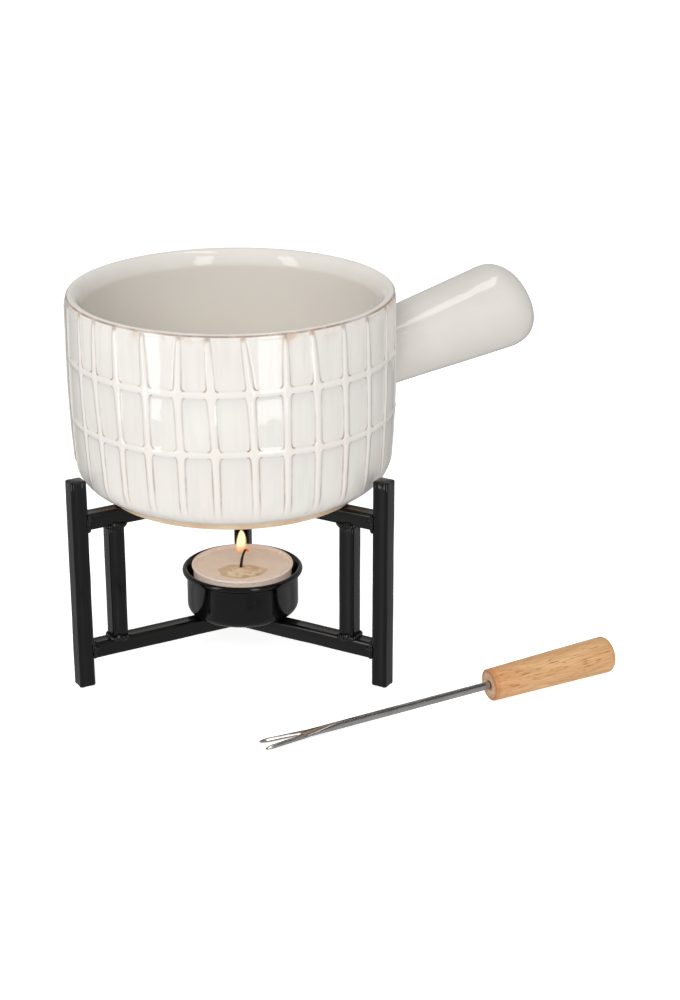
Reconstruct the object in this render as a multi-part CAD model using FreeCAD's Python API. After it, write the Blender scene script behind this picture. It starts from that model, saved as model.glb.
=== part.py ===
import FreeCAD, Part
import math
import os

# Fondue pot set for one tealight: a ribbed white ceramic pot with a hollow side handle, standing on
# a three-legged warmer of welded black square bar, with a tealight in the warmer's cup, and a
# two-pronged fork with a wooden handle lying on the table at the front.
#
# Every piece is drawn about the warmer's vertical centre line, with the table top at z = 0, and the
# whole set is moved at the end so that its origin is the middle of its footprint. Millimetres,
# +Z up, front of the set towards -Y.

# ---- Warmer: square bar, welded ----
BAR = 6.5                    # side of the square bar
BAR_EDGE = 0.95              # rounding of the bar's long edges
LEG_AZIMUTHS = {"back": 90.0, "left": 210.0, "right": 330.0}
LEG_RADIUS = 66.0            # centre line to middle of a leg
LEG_HEIGHT = 83.4
LEG_END_EDGE = 0.4           # rounding of the sawn ends
STRUT_RADIUS = 51.5          # centre line to middle of a strut
LOWER_SPOKE_Z = 10.9         # underside of the lower spokes
UPPER_SPOKE_Z = 63.6         # underside of the upper spokes
BEAD_BASE = 1.9              # half width of a weld bead on the flat of a bar
BEAD_HEIGHT = 0.65           # how far a bead stands out
FILLET_WELD = 1.6            # leg length of a weld in an inside corner

# ---- Warmer: cup that holds the tealight ----
HOLDER_OFFSET = 2.5          # the cup is welded a little to the right of centre
HOLDER_RADIUS = 21.85
HOLDER_WALL = 0.8
HOLDER_CORNER = 3.6          # outer rounding of the bottom corner
HOLDER_RIM_Z = 34.6          # height of the middle of the rolled rim
HOLDER_BEAD = 1.1            # radius of the rolled rim

# ---- Pot ----
POT_HEIGHT = 78.1
POT_RADIUS = 62.5
POT_INNER_RADIUS = 56.3      # under the lip's long inner slope
LIP_CREST_RADIUS = 60.4      # the lip's highest line
LIP_OUTER_DEPTH = 5.5        # height of the lip's outer rounding
LIP_INNER_DEPTH = 7.6        # height of the lip's inner slope
POT_DRAFT = 0.5              # how much narrower the inside is at the floor
POT_FLOOR = 7.2              # inside floor above the foot's underside
POT_INNER_CORNER = 16.0
FOOT_RADIUS = 49.6
FOOT_WIDTH = 4.6
FOOT_HEIGHT = 2.6            # bare clay band at the foot
FOOT_RECESS = 1.7            # hollow under the pot inside the foot ring

# ---- Pot handle: a hollow round horn, widening to a domed end ----
HANDLE_AZIMUTH = 22.0
HANDLE_RISE = 14.4           # degrees above level
HANDLE_AXIS_Z = 101.5        # height where the handle's axis meets the pot's axis
HANDLE_ROOT_RADIUS = 13.2    # at HANDLE_ROOT along the axis
HANDLE_ROOT = 50.0
HANDLE_END_RADIUS = 17.3
HANDLE_LENGTH = 125.9        # pot axis to the end of the dome, along the handle's axis
HANDLE_CORNER = 11.5
HANDLE_DOME = 1.0
HANDLE_WALL = 3.6
HANDLE_VENT = 1.5            # radius of the firing vent on the underside
HANDLE_VENT_PLACE = 84.0

# ---- Tealight ----
CUP_LIP_RADIUS = 19.9
CUP_LIP_THICKNESS = 0.8
CUP_TOP_RADIUS = 19.3
CUP_BASE_RADIUS = 18.7
CUP_WALL = 0.6
CUP_CORNER = 3.0             # outer rounding of the cup's base
CUP_TOP_Z = 37.0
WAX_GAP = 0.05               # between the wax and the cup wall
WAX_TOP_Z = 35.7
WICK_RADIUS = 0.75
WICK_TOP_Z = 43.2
WICK_BEND = 5.5              # radius of the wick's curl at its top
WICK_TURN = 65.0             # how far it curls over, in degrees
SUSTAINER_RADIUS = 6.0
SUSTAINER_THICKNESS = 0.3

# ---- Fork, lying on the table on its prongs and on the near edge of its handle ----
FORK_PLACE = (97.0, -46.9)   # small end of the handle
FORK_AZIMUTH = 24.7
FORK_TILT = 3.3              # the far end of the handle is off the table
FORK_SMALL_RADIUS = 6.15
FORK_LARGE_RADIUS = 7.1
FORK_HANDLE_LENGTH = 52.4
FORK_SMALL_EDGE = 0.8
FORK_LARGE_EDGE = 2.4
ROD_RADIUS = 1.5
ROD_INSERT = 32.0            # length of rod inside the handle
ROD_BORE_GAP = 0.05
ROD_REACH = 93.0             # handle to prong tips
PRONG_LENGTH = 15.4
BLADE_LENGTH = 13.0          # flattened length between rod and prongs
BLADE_WIDTH = 6.0
BLADE_THICKNESS = 1.4
PRONG_SPREAD = 8.4           # outer width across the prong tips
PRONG_TIP = 0.5              # width of a prong at its tip

V = FreeCAD.Vector
UP = V(0, 0, 1)
HALF_BAR = BAR / 2
SEAT_Z = UPPER_SPOKE_Z + BAR          # top of the upper spokes, where the pot stands
SHELF_Z = LOWER_SPOKE_Z + BAR         # top of the lower spokes, where the cup is welded
LEG_INNER = LEG_RADIUS - HALF_BAR


# ---------------------------------------------------------------- helpers

def turned(shape, azimuth):
    """A copy of a shape drawn along +X, turned about the centre line."""
    copy = shape.copy()
    copy.rotate(V(0, 0, 0), UP, azimuth)
    return copy


def edges_along(shape, axis, length):
    """The straight edges of a shape that run along one axis for at least the given length."""
    found = []
    for edge in shape.Edges:
        run = edge.Vertexes[-1].Point - edge.Vertexes[0].Point
        if abs(run.dot(axis)) > length and abs(run.dot(axis)) > 0.999 * run.Length:
            found.append(edge)
    return found


def prism(points, height):
    """A prism over a closed outline of (x, y) or (x, y, z) points, raised along z."""
    corners = [V(*point) for point in points]
    corners.append(corners[0])
    return Part.Face(Part.makePolygon(corners)).extrude(UP * height)


def revolved(edges):
    """A solid of revolution about z of a closed outline in the x-z plane."""
    face = Part.Face(Part.Wire(edges))
    return face.revolve(V(0, 0, 0), UP, 360)


def line(start, end):
    return Part.LineSegment(V(start[0], 0, start[1]), V(end[0], 0, end[1])).toShape()


def arc(start, middle, end):
    points = [V(point[0], 0, point[1]) for point in (start, middle, end)]
    return Part.Arc(*points).toShape()


def corner_arc(centre, radius, start_angle, end_angle):
    """An arc in the x-z plane about a centre, angles in degrees from +x towards +z."""
    angles = (start_angle, (start_angle + end_angle) / 2, end_angle)
    points = []
    for angle in angles:
        turn = math.radians(angle)
        points.append((centre[0] + radius * math.cos(turn), centre[1] + radius * math.sin(turn)))
    return arc(*points)


def largest_solid(shape):
    return max(shape.Solids, key=lambda solid: solid.Volume)


# ---------------------------------------------------------------- warmer bars

def make_leg():
    leg = Part.makeBox(BAR, BAR, LEG_HEIGHT, V(LEG_RADIUS - HALF_BAR, -HALF_BAR, 0))
    leg = leg.makeFillet(BAR_EDGE, edges_along(leg, UP, LEG_HEIGHT / 2))
    ends = [face for face in leg.Faces if abs(face.normalAt(0, 0).z) > 0.99]
    return leg.makeFillet(LEG_END_EDGE, [edge for face in ends for edge in face.Edges])


def make_spoke(underside):
    """One of three spokes that meet in the middle on mitred, 120 degree points."""
    point = HALF_BAR / math.tan(math.radians(60))
    outline = [(0, 0), (point, -HALF_BAR), (LEG_INNER, -HALF_BAR),
               (LEG_INNER, HALF_BAR), (point, HALF_BAR)]
    spoke = prism([(x, y, underside) for x, y in outline], BAR)
    return spoke.makeFillet(BAR_EDGE, edges_along(spoke, V(1, 0, 0), LEG_INNER / 2))


def make_strut():
    height = UPPER_SPOKE_Z - SHELF_Z
    strut = Part.makeBox(BAR, BAR, height, V(STRUT_RADIUS - HALF_BAR, -HALF_BAR, SHELF_Z))
    return strut.makeFillet(BAR_EDGE, edges_along(strut, UP, height / 2))


# ---------------------------------------------------------------- welds

def side_beads(radius, height, bars):
    """A low round bead on each side of the bars, over the seam at a radius and height."""
    ball = (BEAD_BASE ** 2 + BEAD_HEIGHT ** 2) / (2 * BEAD_HEIGHT)
    beads = []
    for side in (-1, 1):
        centre = V(radius, side * (HALF_BAR + BEAD_HEIGHT - ball), height)
        bead = Part.makeSphere(ball, centre).cut(bars)
        outside = Part.makeBox(BAR * 2, BAR, BAR * 2, V(radius - BAR, -HALF_BAR, height - BAR))
        outside.translate(V(0, side * (BAR - BAR_EDGE), 0))
        beads.append(largest_solid(bead.common(outside)))
    return beads


def corner_weld(radius, height, outward, upward):
    """A three-sided weld across a bar, in the corner that opens along outward and upward."""
    width = BAR - 2 * BAR_EDGE
    corners = [V(radius, -width / 2, height),
               V(radius + outward * FILLET_WELD, -width / 2, height),
               V(radius, -width / 2, height + upward * FILLET_WELD)]
    corners.append(corners[0])
    return Part.Face(Part.makePolygon(corners)).extrude(V(0, width, 0))


def make_upper_welds(leg, spoke, strut):
    bars = leg.fuse([spoke, strut])
    welds = side_beads(LEG_INNER, UPPER_SPOKE_Z + HALF_BAR, bars)
    welds += side_beads(STRUT_RADIUS, UPPER_SPOKE_Z, bars)
    welds.append(corner_weld(LEG_INNER, UPPER_SPOKE_Z, -1, -1))
    welds.append(corner_weld(STRUT_RADIUS - HALF_BAR, UPPER_SPOKE_Z, -1, -1))
    return welds


def make_lower_welds(leg, spoke, strut):
    bars = leg.fuse([spoke, strut])
    welds = side_beads(LEG_INNER, LOWER_SPOKE_Z + HALF_BAR, bars)
    welds += side_beads(STRUT_RADIUS, SHELF_Z, bars)
    welds.append(corner_weld(LEG_INNER, SHELF_Z, -1, 1))
    welds.append(corner_weld(LEG_INNER, LOWER_SPOKE_Z, -1, -1))
    welds.append(corner_weld(STRUT_RADIUS - HALF_BAR, SHELF_Z, -1, 1))
    welds.append(corner_weld(STRUT_RADIUS + HALF_BAR, SHELF_Z, 1, 1))
    return welds


# ---------------------------------------------------------------- warmer cup

def make_holder():
    """A pressed steel cup with a rounded bottom corner and an outward rolled rim."""
    floor = SHELF_Z
    inner = HOLDER_RADIUS - HOLDER_WALL
    outer_centre = (HOLDER_RADIUS - HOLDER_CORNER, floor + HOLDER_CORNER)
    inner_corner = HOLDER_CORNER - HOLDER_WALL
    edges = [
        line((0, floor), (outer_centre[0], floor)),
        corner_arc(outer_centre, HOLDER_CORNER, -90, 0),
        line((HOLDER_RADIUS, outer_centre[1]), (HOLDER_RADIUS, HOLDER_RIM_Z)),
        line((HOLDER_RADIUS, HOLDER_RIM_Z), (inner, HOLDER_RIM_Z)),
        line((inner, HOLDER_RIM_Z), (inner, outer_centre[1])),
        corner_arc(outer_centre, inner_corner, 0, -90),
        line((outer_centre[0], floor + HOLDER_WALL), (0, floor + HOLDER_WALL)),
        line((0, floor + HOLDER_WALL), (0, floor)),
    ]
    rim_radius = HOLDER_RADIUS - HOLDER_WALL / 2 + HOLDER_BEAD
    rim = Part.makeTorus(rim_radius, HOLDER_BEAD, V(0, 0, HOLDER_RIM_Z))
    return revolved(edges).fuse(rim).removeSplitter()


# ---------------------------------------------------------------- pot

def pot_outside_edges():
    """The pot's outer outline, from the foot's underside to the crest of the lip."""
    z = SEAT_Z
    rim_z = z + POT_HEIGHT
    lip_z = rim_z - LIP_OUTER_DEPTH
    half = math.sqrt(0.5)
    lip_middle = (LIP_CREST_RADIUS + (POT_RADIUS - LIP_CREST_RADIUS) * half,
                  lip_z + LIP_OUTER_DEPTH * half)
    side = [V(FOOT_RADIUS + 1.8, 0, z + FOOT_HEIGHT), V(54.8, 0, z + 4.2), V(58.6, 0, z + 7.4),
            V(60.8, 0, z + 11.8), V(61.6, 0, z + 19.0), V(62.2, 0, z + 32.0),
            V(POT_RADIUS, 0, z + 46.0), V(POT_RADIUS, 0, lip_z)]
    curve = Part.BSplineCurve()
    curve.interpolate(side)
    return [
        line((FOOT_RADIUS, z), (FOOT_RADIUS + 0.6, z + FOOT_HEIGHT)),
        line((FOOT_RADIUS + 0.6, z + FOOT_HEIGHT), (FOOT_RADIUS + 1.8, z + FOOT_HEIGHT)),
        curve.toShape(),
        arc((POT_RADIUS, lip_z), lip_middle, (LIP_CREST_RADIUS, rim_z)),
    ]


def pot_envelope():
    """The pot as if it were filled in, which the handle's root is shaped to fit."""
    edges = pot_outside_edges()
    edges.append(line((LIP_CREST_RADIUS, SEAT_Z + POT_HEIGHT), (0, SEAT_Z + POT_HEIGHT)))
    edges.append(line((0, SEAT_Z + POT_HEIGHT), (0, SEAT_Z)))
    edges.append(line((0, SEAT_Z), (FOOT_RADIUS, SEAT_Z)))
    return revolved(edges)


def make_pot():
    z = SEAT_Z
    rim_z = z + POT_HEIGHT
    slope_z = rim_z - LIP_INNER_DEPTH
    floor_z = z + POT_FLOOR
    corner = (POT_INNER_RADIUS - POT_DRAFT - POT_INNER_CORNER, floor_z + POT_INNER_CORNER)
    foot_inner = FOOT_RADIUS - FOOT_WIDTH
    slope_middle = (LIP_CREST_RADIUS - (LIP_CREST_RADIUS - POT_INNER_RADIUS) * math.sqrt(0.5),
                    slope_z + LIP_INNER_DEPTH * math.sqrt(0.5))
    edges = pot_outside_edges() + [
        arc((LIP_CREST_RADIUS, rim_z), slope_middle, (POT_INNER_RADIUS, slope_z)),
        line((POT_INNER_RADIUS, slope_z), (POT_INNER_RADIUS - POT_DRAFT, corner[1])),
        corner_arc(corner, POT_INNER_CORNER, 0, -90),
        line((corner[0], floor_z), (0, floor_z)),
        line((0, floor_z), (0, z + FOOT_RECESS)),
        line((0, z + FOOT_RECESS), (foot_inner - 0.8, z + FOOT_RECESS)),
        line((foot_inner - 0.8, z + FOOT_RECESS), (foot_inner, z)),
        line((foot_inner, z), (FOOT_RADIUS, z)),
    ]
    return revolved(edges)


def along_handle(shape):
    """Place a shape drawn about z so that z becomes the handle's axis."""
    placed = shape.copy()
    placed.rotate(V(0, 0, 0), V(0, 1, 0), 90 - HANDLE_RISE)
    placed.rotate(V(0, 0, 0), UP, HANDLE_AZIMUTH)
    placed.translate(V(0, 0, HANDLE_AXIS_Z))
    return placed


def horn(start, start_radius, end, end_radius, corner, dome):
    """A solid horn about z with a rounded, domed far end."""
    shoulder = (end_radius - corner, end - dome - corner)
    edges = [
        line((0, start), (start_radius, start)),
        line((start_radius, start), (end_radius, shoulder[1])),
        corner_arc(shoulder, corner, 0, 90),
        line((shoulder[0], end - dome), (0, end)),
        line((0, end), (0, start)),
    ]
    return revolved(edges)


def make_pot_handle():
    outside = horn(HANDLE_ROOT, HANDLE_ROOT_RADIUS, HANDLE_LENGTH, HANDLE_END_RADIUS,
                   HANDLE_CORNER, HANDLE_DOME)
    inside = horn(POT_RADIUS + 6.0, HANDLE_ROOT_RADIUS + 0.8 - HANDLE_WALL,
                  HANDLE_LENGTH - HANDLE_WALL, HANDLE_END_RADIUS - HANDLE_WALL,
                  HANDLE_CORNER - HANDLE_WALL, HANDLE_DOME)
    vent = Part.makeCylinder(HANDLE_VENT, 30, V(0, 0, HANDLE_VENT_PLACE), V(1, 0, 0))
    handle = along_handle(outside.cut(inside).cut(vent))
    return largest_solid(handle.cut(pot_envelope()))


# ---------------------------------------------------------------- tealight

def make_tealight_cup():
    """A clear moulded cup, slightly tapered, with a rounded base and a flat lip."""
    base = SHELF_Z + HOLDER_WALL
    lip_z = CUP_TOP_Z - CUP_LIP_THICKNESS
    inner_corner = CUP_CORNER - CUP_WALL
    centre = (CUP_BASE_RADIUS - CUP_CORNER, base + CUP_CORNER)
    edges = [
        line((0, base), (centre[0], base)),
        corner_arc(centre, CUP_CORNER, -90, 0),
        line((CUP_BASE_RADIUS, centre[1]), (CUP_TOP_RADIUS, lip_z)),
        line((CUP_TOP_RADIUS, lip_z), (CUP_LIP_RADIUS, lip_z)),
        line((CUP_LIP_RADIUS, lip_z), (CUP_LIP_RADIUS, CUP_TOP_Z)),
        line((CUP_LIP_RADIUS, CUP_TOP_Z), (CUP_TOP_RADIUS - CUP_WALL, CUP_TOP_Z)),
        line((CUP_TOP_RADIUS - CUP_WALL, CUP_TOP_Z), (CUP_BASE_RADIUS - CUP_WALL, centre[1])),
        corner_arc(centre, inner_corner, 0, -90),
        line((centre[0], base + CUP_WALL), (0, base + CUP_WALL)),
        line((0, base + CUP_WALL), (0, base)),
    ]
    return revolved(edges)


def make_wax():
    """The wax fill, with a hole for the wick and a recess for the disc that holds it."""
    cup_base = SHELF_Z + HOLDER_WALL
    base = cup_base + CUP_WALL
    centre = (CUP_BASE_RADIUS - CUP_CORNER, cup_base + CUP_CORNER)
    wax_corner = CUP_CORNER - CUP_WALL - WAX_GAP
    bottom = CUP_BASE_RADIUS - CUP_WALL - WAX_GAP
    slope = (CUP_TOP_RADIUS - CUP_BASE_RADIUS) / (CUP_TOP_Z - centre[1])
    top = bottom + slope * (WAX_TOP_Z - centre[1])
    edges = [
        line((0, base), (centre[0], base)),
        line((centre[0], base), (centre[0], centre[1] - wax_corner)),
        corner_arc(centre, wax_corner, -90, 0),
        line((bottom, centre[1]), (top, WAX_TOP_Z)),
        line((top, WAX_TOP_Z), (0, WAX_TOP_Z)),
        line((0, WAX_TOP_Z), (0, base)),
    ]
    recess = Part.makeCylinder(SUSTAINER_RADIUS, SUSTAINER_THICKNESS, V(0, 0, base))
    hole = Part.makeCylinder(WICK_RADIUS, WAX_TOP_Z, V(0, 0, base))
    return revolved(edges).cut(recess).cut(hole)


def make_sustainer():
    base = SHELF_Z + HOLDER_WALL + CUP_WALL
    return Part.makeCylinder(SUSTAINER_RADIUS, SUSTAINER_THICKNESS, V(0, 0, base))


def make_wick():
    """A round wick that stands on its disc and curls over at the top, to the right."""
    base = SHELF_Z + HOLDER_WALL + CUP_WALL + SUSTAINER_THICKNESS
    turn = math.radians(WICK_TURN)
    bend_z = WICK_TOP_Z - WICK_BEND * math.sin(turn) - WICK_RADIUS * math.sin(turn)
    middle = V(WICK_BEND * (1 - math.cos(turn / 2)), 0, bend_z + WICK_BEND * math.sin(turn / 2))
    tip = V(WICK_BEND * (1 - math.cos(turn)), 0, bend_z + WICK_BEND * math.sin(turn))
    path = Part.Wire([Part.LineSegment(V(0, 0, base), V(0, 0, bend_z)).toShape(),
                      Part.Arc(V(0, 0, bend_z), middle, tip).toShape()])
    section = Part.Wire(Part.makeCircle(WICK_RADIUS, V(0, 0, base), UP))
    return path.makePipeShell([section], True, True)


# ---------------------------------------------------------------- fork

def along_fork(shape):
    """Place a shape drawn along +X, from the small end of the handle, as the fork lies."""
    placed = shape.copy()
    placed.rotate(V(0, 0, 0), V(0, 1, 0), -FORK_TILT)
    placed.rotate(V(0, 0, 0), UP, FORK_AZIMUTH)
    height = FORK_SMALL_RADIUS * math.cos(math.radians(FORK_TILT))
    placed.translate(V(FORK_PLACE[0], FORK_PLACE[1], height))
    return placed


def make_fork_handle():
    """A tapered wooden grip with a blind bore for the rod."""
    slope = (FORK_LARGE_RADIUS - FORK_SMALL_RADIUS) / FORK_HANDLE_LENGTH
    small = FORK_SMALL_RADIUS + slope * FORK_SMALL_EDGE
    large = FORK_LARGE_RADIUS - slope * FORK_LARGE_EDGE
    end = FORK_HANDLE_LENGTH
    cut = math.sqrt(0.5)
    edges = [
        line((0, 0), (small - FORK_SMALL_EDGE, 0)),
        arc((small - FORK_SMALL_EDGE, 0),
            (small - FORK_SMALL_EDGE * (1 - cut), FORK_SMALL_EDGE * (1 - cut)),
            (small, FORK_SMALL_EDGE)),
        line((small, FORK_SMALL_EDGE), (large, end - FORK_LARGE_EDGE)),
        arc((large, end - FORK_LARGE_EDGE),
            (large - FORK_LARGE_EDGE * (1 - cut), end - FORK_LARGE_EDGE * (1 - cut)),
            (large - FORK_LARGE_EDGE, end)),
        line((large - FORK_LARGE_EDGE, end), (0, end)),
        line((0, end), (0, 0)),
    ]
    grip = revolved(edges)
    bore = Part.makeCylinder(ROD_RADIUS + ROD_BORE_GAP, ROD_INSERT)
    grip = grip.cut(bore)
    grip.rotate(V(0, 0, 0), V(0, 1, 0), 90)
    return along_fork(grip)


def make_fork_rod():
    """A round rod flattened into a blade that splits into two pointed prongs."""
    blade_start = -(ROD_REACH - PRONG_LENGTH - BLADE_LENGTH)
    split = -(ROD_REACH - PRONG_LENGTH)
    rod = Part.makeCylinder(ROD_RADIUS, ROD_INSERT - blade_start, V(blade_start, 0, 0), V(1, 0, 0))
    half = BLADE_WIDTH / 2
    blade_outline = [(blade_start, -ROD_RADIUS), (blade_start, ROD_RADIUS),
                     (split, half), (split, -half)]
    low = -BLADE_THICKNESS / 2
    blade = prism([(x, y, low) for x, y in blade_outline], BLADE_THICKNESS)
    tip = -ROD_REACH
    spread = PRONG_SPREAD / 2
    for side in (-1, 1):
        outline = [(split, side * half), (tip + 4.0, side * (spread - 0.3)), (tip, side * spread),
                   (tip, side * (spread - PRONG_TIP)), (tip + 5.0, side * (spread - 2.0)),
                   (split - 1.5, side * 0.9), (split, side * 0.2)]
        blade = blade.fuse(prism([(x, y, low) for x, y in outline], BLADE_THICKNESS))
    return along_fork(rod.fuse(blade).removeSplitter())


# ---------------------------------------------------------------- the set

def make_warmer(nodes):
    leg = make_leg()
    strut = make_strut()
    upper = make_spoke(UPPER_SPOKE_Z)
    lower = make_spoke(LOWER_SPOKE_Z)
    upper_welds = make_upper_welds(leg, upper, strut)
    lower_welds = make_lower_welds(leg, lower, strut)
    bars = {"leg": leg, "upper_spoke": upper, "lower_spoke": lower, "strut": strut}
    for kind, bar in bars.items():
        for side, azimuth in LEG_AZIMUTHS.items():
            nodes[f"{kind}_{side}"] = turned(bar, azimuth)
    for name, welds in (("upper_welds", upper_welds), ("lower_welds", lower_welds)):
        group = [turned(weld, azimuth) for azimuth in LEG_AZIMUTHS.values() for weld in welds]
        nodes[name] = Part.makeCompound(group)
    nodes["candle_holder"] = make_holder()
    nodes["candle_holder"].translate(V(HOLDER_OFFSET, 0, 0))


def make_tealight(nodes):
    nodes["tealight_cup"] = make_tealight_cup()
    nodes["tealight_wax"] = make_wax()
    nodes["tealight_wick"] = make_wick()
    nodes["wick_sustainer"] = make_sustainer()
    for name in ("tealight_cup", "tealight_wax", "tealight_wick", "wick_sustainer"):
        nodes[name].translate(V(HOLDER_OFFSET, 0, 0))


def make_set():
    """Every node by name, with the origin at the middle of the set's footprint on the table."""
    nodes = {}
    make_warmer(nodes)
    make_tealight(nodes)
    nodes["pot_body"] = make_pot()
    nodes["pot_handle"] = make_pot_handle()
    nodes["fork_rod"] = make_fork_rod()
    nodes["fork_handle"] = make_fork_handle()
    box = FreeCAD.BoundBox()
    for shape in nodes.values():
        box.add(shape.optimalBoundingBox(False))
    centre_line = V(-round(box.Center.x, 1), -round(box.Center.y, 1), 0)
    for shape in nodes.values():
        shape.translate(centre_line)
    print("centre line at", centre_line, "set from", box.ZMin, "to", box.ZMax)
    return nodes


os.makedirs("parts", exist_ok=True)
for name, shape in make_set().items():
    if not shape.isValid():
        raise ValueError(name + " is not valid")
    shape.exportStep(os.path.join("parts", name + ".step"))
    print(name, "solids", len(shape.Solids), "volume", round(shape.Volume, 1))
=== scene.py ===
import math

import bpy
import numpy as np
from mathutils import Matrix, Vector, noise


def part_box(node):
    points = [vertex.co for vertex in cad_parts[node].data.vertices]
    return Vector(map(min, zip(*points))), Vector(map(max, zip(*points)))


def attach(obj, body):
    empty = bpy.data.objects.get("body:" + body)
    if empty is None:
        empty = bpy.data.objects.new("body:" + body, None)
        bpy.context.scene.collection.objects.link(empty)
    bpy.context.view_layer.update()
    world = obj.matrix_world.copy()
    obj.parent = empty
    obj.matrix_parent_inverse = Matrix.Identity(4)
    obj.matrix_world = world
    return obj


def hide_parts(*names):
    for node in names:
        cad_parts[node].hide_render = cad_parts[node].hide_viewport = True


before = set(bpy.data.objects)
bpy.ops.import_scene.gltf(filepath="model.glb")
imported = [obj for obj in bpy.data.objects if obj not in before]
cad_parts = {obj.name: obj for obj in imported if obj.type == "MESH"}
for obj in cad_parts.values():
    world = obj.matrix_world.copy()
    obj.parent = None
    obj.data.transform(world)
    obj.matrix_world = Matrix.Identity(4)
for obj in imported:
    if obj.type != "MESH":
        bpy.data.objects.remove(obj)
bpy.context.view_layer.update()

# Fondue pot set: the finished pieces, materials, floor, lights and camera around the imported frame.
# Lengths are given in millimetres and turned into metres where meshes are made.

MM = 0.001
noise.seed_set(5)            # without a seed, noise_vector starts from the clock


# ---------------------------------------------------------------- places read from the frame

def low(node):
    return Vector(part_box(node)[0]) / MM


def high(node):
    return Vector(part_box(node)[1]) / MM


def middle(node):
    return (low(node) + high(node)) / 2


def half_width(node):
    return (high(node).x - low(node).x) / 2


AXIS = Vector((middle("pot_body").x, middle("pot_body").y, 0))      # the warmer's centre line
SEAT_Z = low("pot_body").z                                          # top of the upper spokes
RIM_Z = high("pot_body").z
POT_RADIUS = half_width("pot_body")
SHELF_Z = low("candle_holder").z                                    # top of the lower spokes
CUP_AXIS = Vector((middle("tealight_cup").x, middle("tealight_cup").y, 0))
CUP_TOP_Z = high("tealight_cup").z
BAR = high("leg_back").x - low("leg_back").x
LEG_HEIGHT = high("leg_back").z
LEG_RADIUS = middle("leg_back").y - AXIS.y
STRUT_RADIUS = middle("strut_back").y - AXIS.y
SIDES = {"back": 90.0, "left": 210.0, "right": 330.0}


# ---------------------------------------------------------------- mesh helpers

NEARLY_STRAIGHT = math.radians(89.5)      # half the angle of a corner too flat to need an arc


def filleted(corners, steps=6):
    """Points along an open outline of (x, y, radius) corners, each rounded to a tangent arc."""
    points = [corners[0][:2]]
    for before, corner, after in zip(corners, corners[1:], corners[2:]):
        here, radius = np.array(corner[:2], float), corner[2]
        back = np.array(before[:2]) - here
        on = np.array(after[:2]) - here
        back, on = back / np.linalg.norm(back), on / np.linalg.norm(on)
        half = math.acos(max(-1.0, min(1.0, float(back @ on)))) / 2
        if radius == 0 or half > NEARLY_STRAIGHT:
            points.append(tuple(here))
            continue
        centre = here + (back + on) / np.linalg.norm(back + on) * radius / math.sin(half)
        start = here + back * radius / math.tan(half) - centre
        end = here + on * radius / math.tan(half) - centre
        first = math.atan2(start[1], start[0])
        sweep = (math.atan2(end[1], end[0]) - first + math.pi) % (2 * math.pi) - math.pi
        for step in range(steps + 1):
            angle = first + sweep * step / steps
            points.append((centre[0] + radius * math.cos(angle), centre[1] + radius * math.sin(angle)))
    points.append(corners[-1][:2])
    return points


def dense(points, gap):
    """The same outline with more points, so that no two are further apart than gap."""
    out = [points[0]]
    for start, end in zip(points, points[1:]):
        pieces = max(1, math.ceil(math.dist(start, end) / gap))
        for piece in range(1, pieces + 1):
            t = piece / pieces
            out.append(tuple(a + (b - a) * t for a, b in zip(start, end)))
    return out


def around(count):
    """Equal angles round a full turn."""
    return np.linspace(0, 2 * math.pi, count, endpoint=False)


def lathe_rings(outline, turn):
    """Rings about z from an outline of (radius, height), with points at the angles of turn."""
    return [np.stack([r * np.cos(turn), r * np.sin(turn), np.full(len(turn), float(z))], 1)
            for r, z in outline]


def skin(rings):
    """Vertices and faces of a surface through equal rings; both ends close on a middle point."""
    count = len(rings[0])
    verts = np.vstack(rings)
    this = np.arange(count)
    after = (this + 1) % count
    faces = []
    for row in range(len(rings) - 1):
        a, b = row * count, (row + 1) * count
        faces += np.stack([a + this, a + after, b + after, b + this], 1).tolist()
    top = (len(rings) - 1) * count
    verts = np.vstack([verts, rings[0].mean(0), rings[-1].mean(0)])
    first, last = len(verts) - 2, len(verts) - 1
    faces += [[first, int(j), int(i)] for i, j in zip(this, after)]
    faces += [[last, int(top + i), int(top + j)] for i, j in zip(this, after)]
    return verts, faces


def lathe(outline, gap, columns):
    """Vertices and faces of a turned shape, its rows no further apart than gap."""
    return skin(lathe_rings(dense(outline, gap), around(columns)))


def joined(parts):
    """One list of vertices and faces from several."""
    verts, faces = [], []
    for more_verts, more_faces in parts:
        start = sum(len(v) for v in verts)
        verts.append(np.asarray(more_verts, float))
        faces += [[index + start for index in face] for face in more_faces]
    return np.vstack(verts), faces


def placed(verts, origin, azimuth=0.0, rise=0.0):
    """Turn a shape drawn about +X: lift its far end by rise, swing it to azimuth, move it."""
    turn = Matrix.Rotation(math.radians(azimuth), 3, "Z") @ Matrix.Rotation(-math.radians(rise), 3, "Y")
    return np.asarray(verts) @ np.array(turn).T + np.array(origin)


def put(name, data):
    """A new object in the scene for a mesh, a light or a camera."""
    made = bpy.data.objects.new(name, data)
    bpy.context.scene.collection.objects.link(made)
    return made


def mesh_of(name, shape):
    """A mesh in metres from vertices in millimetres and faces."""
    verts, faces = shape
    mesh = bpy.data.meshes.new(name)
    mesh.from_pydata((np.asarray(verts) * MM).tolist(), [], faces)
    return mesh


def lifted(verts, axis, height):
    """A shape drawn about the origin, moved to an upright axis at a height."""
    return verts + np.array((axis.x, axis.y, height))


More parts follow.
